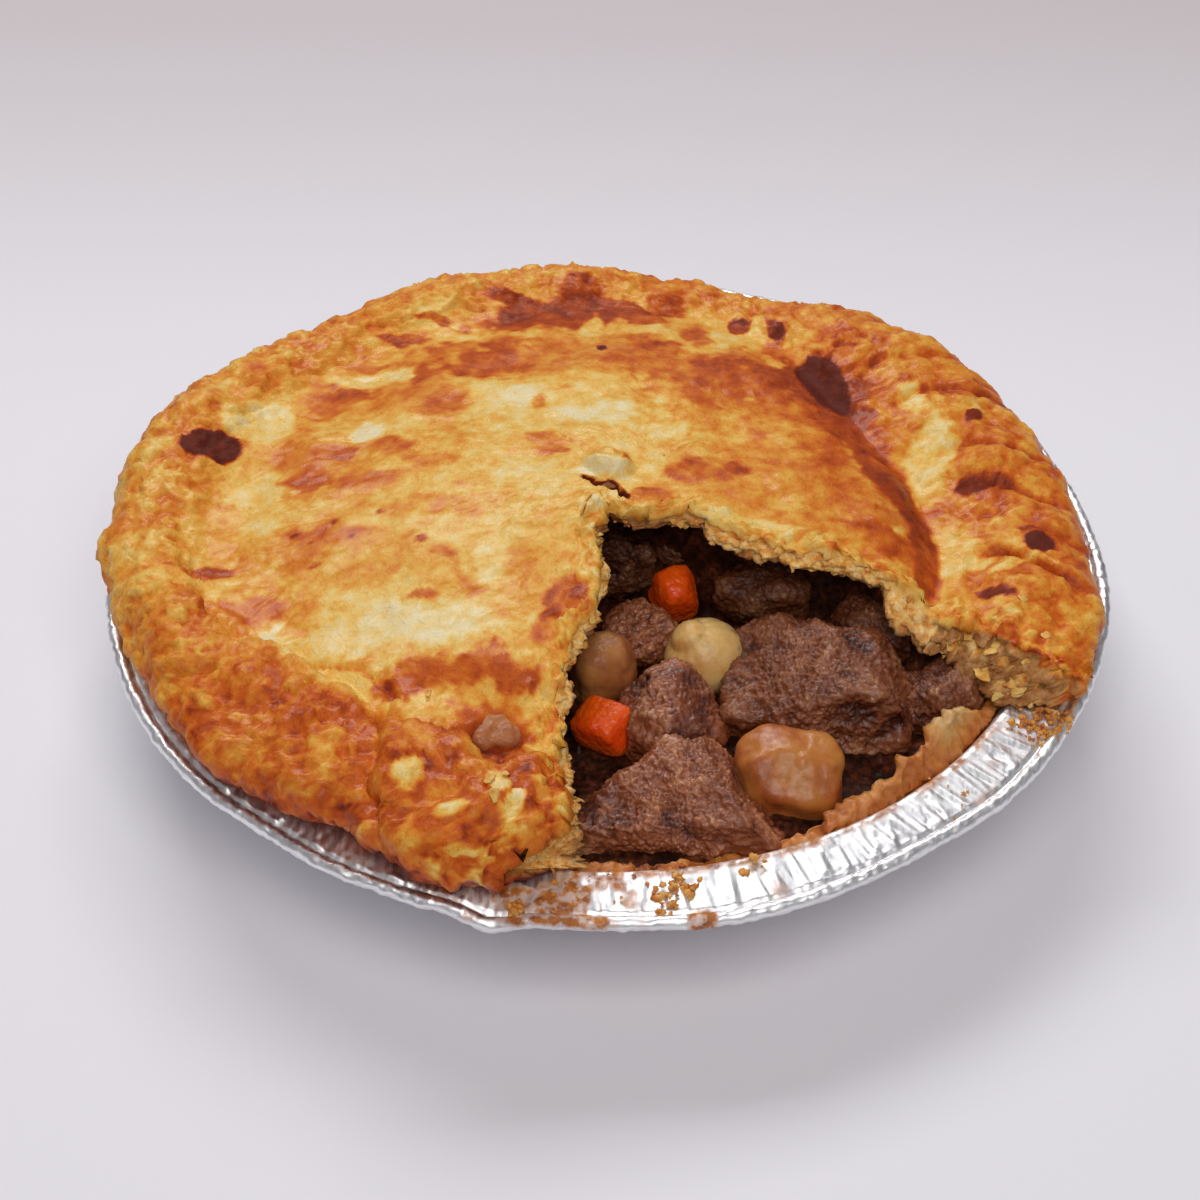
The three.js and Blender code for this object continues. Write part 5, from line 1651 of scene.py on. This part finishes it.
def camera():
    down, roll = CAMERA_DOWN, CAMERA_ROLL
    forward = Vector((0.0, math.cos(down), -math.sin(down)))
    right = Vector((1.0, 0.0, 0.0))
    up = right.cross(forward)
    turned_right = right * math.cos(roll) + up * math.sin(roll)
    turned_up = up * math.cos(roll) - right * math.sin(roll)
    matrix = Matrix((turned_right, turned_up, -forward)).transposed().to_4x4()
    matrix.translation = Vector(CAMERA_PLACE) * MM
    data = bpy.data.cameras.new("camera")
    data.lens, data.sensor_width, data.sensor_fit = CAMERA_LENS, CAMERA_SENSOR, "HORIZONTAL"
    data.clip_start, data.clip_end = 0.01, 20.0
    seat = bpy.data.objects.new("camera", data)
    seat.matrix_world = matrix
    bpy.context.scene.collection.objects.link(seat)
    bpy.context.scene.camera = seat


def room_light():
    world = bpy.data.worlds.new("soft_room")
    bpy.context.scene.world = world
    world.use_nodes = True
    world.node_tree.nodes.clear()
    background = add_node(world.node_tree, "ShaderNodeBackground", {
        "Color": ROOM_COLOUR, "Strength": ROOM_STRENGTH})
    add_node(world.node_tree, "ShaderNodeOutputWorld", {0: background.outputs[0]})


# ---- operators -----------------------------------------------------------------------------------

class PIE_OT_stage(bpy.types.Operator):
    """Set up the pale floor, the soft lights and the camera"""
    bl_idname = "pie.stage"
    bl_label = "Stage"

    def execute(self, context):
        floor_and_backdrop(context.scene.pie_colours)
        room_light()
        camera()
        for light in LIGHTS:
            soft_light(*light)
        context.scene.view_settings.view_transform = "Standard"
        return {"FINISHED"}


class PIE_OT_pastry_lid(bpy.types.Operator):
    """Make the baked pastry lid with its crimped rim and torn edges"""
    bl_idname = "pie.pastry_lid"
    bl_label = "Pastry lid"

    def execute(self, context):
        mesh = pastry_lid_mesh()
        shape_the_crust(mesh, context.scene.pie_sizes)
        write_values(mesh, "bake", browning(mesh))
        finish_piece(mesh, "pastry_lid_crust", crust_finish(context.scene.pie_colours),
                     ["pastry_lid"])
        return {"FINISHED"}


class PIE_OT_foil_tin(bpy.types.Operator):
    """Make the creased foil tin with its rolled bead"""
    bl_idname = "pie.foil_tin"
    bl_label = "Foil tin"

    def execute(self, context):
        mesh = foil_tin_mesh(context.scene.pie_sizes)
        write_values(mesh, "stain", stains(read_points(mesh)))
        finish_piece(mesh, "foil_tin_shell", foil_finish(context.scene.pie_colours),
                     ["foil_tin", "foil_flange"])
        return {"FINISHED"}


class PIE_OT_pastry_case(bpy.types.Operator):
    """Make the base pastry with its torn edge and standing strip"""
    bl_idname = "pie.pastry_case"
    bl_label = "Pastry case"

    def execute(self, context):
        mesh = pastry_case_mesh()
        write_values(mesh, "bake", case_bake(mesh))
        finish_piece(mesh, "pastry_case_crust", soaked_finish(), ["pastry_case"])
        return {"FINISHED"}


class PIE_OT_filling(bpy.types.Operator):
    """Make the filling, with its pool of gravy and the bank under the crust"""
    bl_idname = "pie.filling"
    bl_label = "Filling"

    def execute(self, context):
        finish_piece(filling_mesh(), "gravy_and_filling", gravy_finish(context.scene.pie_colours),
                     ["beef_filling"])
        return {"FINISHED"}


class PIE_OT_food(bpy.types.Operator):
    """Make the pieces of beef, onion, potato and carrot"""
    bl_idname = "pie.food"
    bl_label = "Pieces of food"

    def execute(self, context):
        sizes, colours = context.scene.pie_sizes, context.scene.pie_colours
        beef = beef_surface(sizes.grain / MM)
        gravy_film = shade(150, 92, 50)
        kinds = {
            # Painted shade: the beef finishes with `light` below 1 are darker copies for pieces that lie in
            # the crust's shadow.
            "beef": (beef, beef_finish(colours, "stewed_beef", 0.95), "beef"),
            "half-shaded beef": (beef, beef_finish(colours, "beef_in_half_shade", 0.72), "beef"),
            "dark beef": (beef, beef_finish(colours, "beef_in_shade", 0.4), "beef"),
            "onion": (onion_surface, vegetable_finish("pearl_onion_skin", tuple(colours.onion),
                      shade(234, 196, 124), gravy_film, 0.54, (1.0, 1.0, 0.2)), "onion"),
            "onion half": (potato_surface, vegetable_finish("stewed_onion_layers", shade(198, 134, 72),
                           shade(178, 108, 60), shade(150, 84, 44), 0.5, (1.0, 1.0, 0.25)), "onion"),
            "potato": (potato_surface, vegetable_finish("stewed_potato", tuple(colours.potato),
                       shade(188, 108, 50), shade(154, 76, 32), 0.5, (1.0, 1.0, 0.25)), "potato"),
            "carrot": (carrot_surface, vegetable_finish("stewed_carrot", tuple(colours.carrot),
                       shade(250, 96, 12), shade(170, 60, 22), 0.64, (1.0, 1.0, 0.4)), "carrot"),
            "lump": (lump_surface, vegetable_finish("lump_of_filling", shade(180, 114, 64),
                     shade(158, 86, 42), shade(136, 64, 26), 0.48, (1.0, 1.0, 0.5), 0.1), "gravy"),
        }
        for node, centre, half, turn, tilt, power, lumps, seed, kind, flats in CHUNKS:
            surface, material, slot = kinds[kind]
            level = LARGE_BEEF_LEVEL if "beef" in kind and max(half) >= LARGE_BEEF else FOOD_LEVEL
            mesh = chunk_mesh(node, centre, half, turn, tilt, power, lumps, seed, flats, level, surface)
            finish_piece(mesh, node + "_stewed", material, [node])
        work = bmesh.new()
        for centre, half, turn, seed in HIDDEN_BEEF:
            work.from_mesh(chunk_mesh("beef", centre, half, turn, 0, 2.8, 0.2, seed, (), FOOD_LEVEL, beef))
        together = bpy.data.meshes.new("beef_under_crust")
        work.to_mesh(together)
        work.free()
        finish_piece(together, "beef_under_crust", kinds["dark beef"][1])
        return {"FINISHED"}


class PIE_OT_crumbs(bpy.types.Operator):
    """Scatter pastry crumbs and flakes over the torn edges, the rim and the foil"""
    bl_idname = "pie.crumbs"
    bl_label = "Crumbs and flakes"

    def execute(self, context):
        sizes = context.scene.pie_sizes
        lid = bpy.data.objects["pastry_lid_crust"]
        draw = np.random.default_rng(sizes.seed)
        context.view_layer.update()
        pale = crumb_finish("pale_crumb", PALE_CRUMB)
        toasted = crumb_finish("toasted_crumb", TOASTED_CRUMB)
        scattered("pastry_crumbs", *crumb_spots(lid, draw), crumb_shapes(), pale, sizes.crumb / MM, 0.5,
                  sizes.seed, "base_pastry")
        scattered("crust_flakes", *flake_spots(lid, draw), flake_shapes(), toasted,
                  FLAKE_SIZE * sizes.crumb / MM, 0.3, sizes.seed + 3, "crust")
        return {"FINISHED"}


class PIE_PT_panel(bpy.types.Panel):
    """Steps that build the pie, in order"""
    bl_idname = "PIE_PT_panel"
    bl_label = "Beef and ale pie"
    bl_space_type = "VIEW_3D"
    bl_region_type = "UI"
    bl_category = "Pie"

    def draw(self, context):
        for group in (context.scene.pie_sizes, context.scene.pie_colours):
            box = self.layout.box()
            for name in type(group).__annotations__:
                box.prop(group, name)
        for operator in OPERATORS:
            self.layout.operator(operator.bl_idname)


GROUPS = (PieSizes, PieColours)
OPERATORS = (PIE_OT_stage, PIE_OT_foil_tin, PIE_OT_pastry_case, PIE_OT_filling, PIE_OT_food,
             PIE_OT_pastry_lid, PIE_OT_crumbs)


def register():
    for group in (*GROUPS, *OPERATORS, PIE_PT_panel):
        bpy.utils.register_class(group)
    bpy.types.Scene.pie_sizes = PointerProperty(type=PieSizes)
    bpy.types.Scene.pie_colours = PointerProperty(type=PieColours)


def unregister():
    del bpy.types.Scene.pie_colours
    del bpy.types.Scene.pie_sizes
    for group in (PIE_PT_panel, *reversed(OPERATORS), *reversed(GROUPS)):
        bpy.utils.unregister_class(group)


def main():
    register()
    bpy.ops.pie.stage()
    bpy.ops.pie.foil_tin()
    bpy.ops.pie.pastry_case()
    bpy.ops.pie.filling()
    bpy.ops.pie.food()
    bpy.ops.pie.pastry_lid()
    bpy.ops.pie.crumbs()


if __name__ == "__main__":
    main()
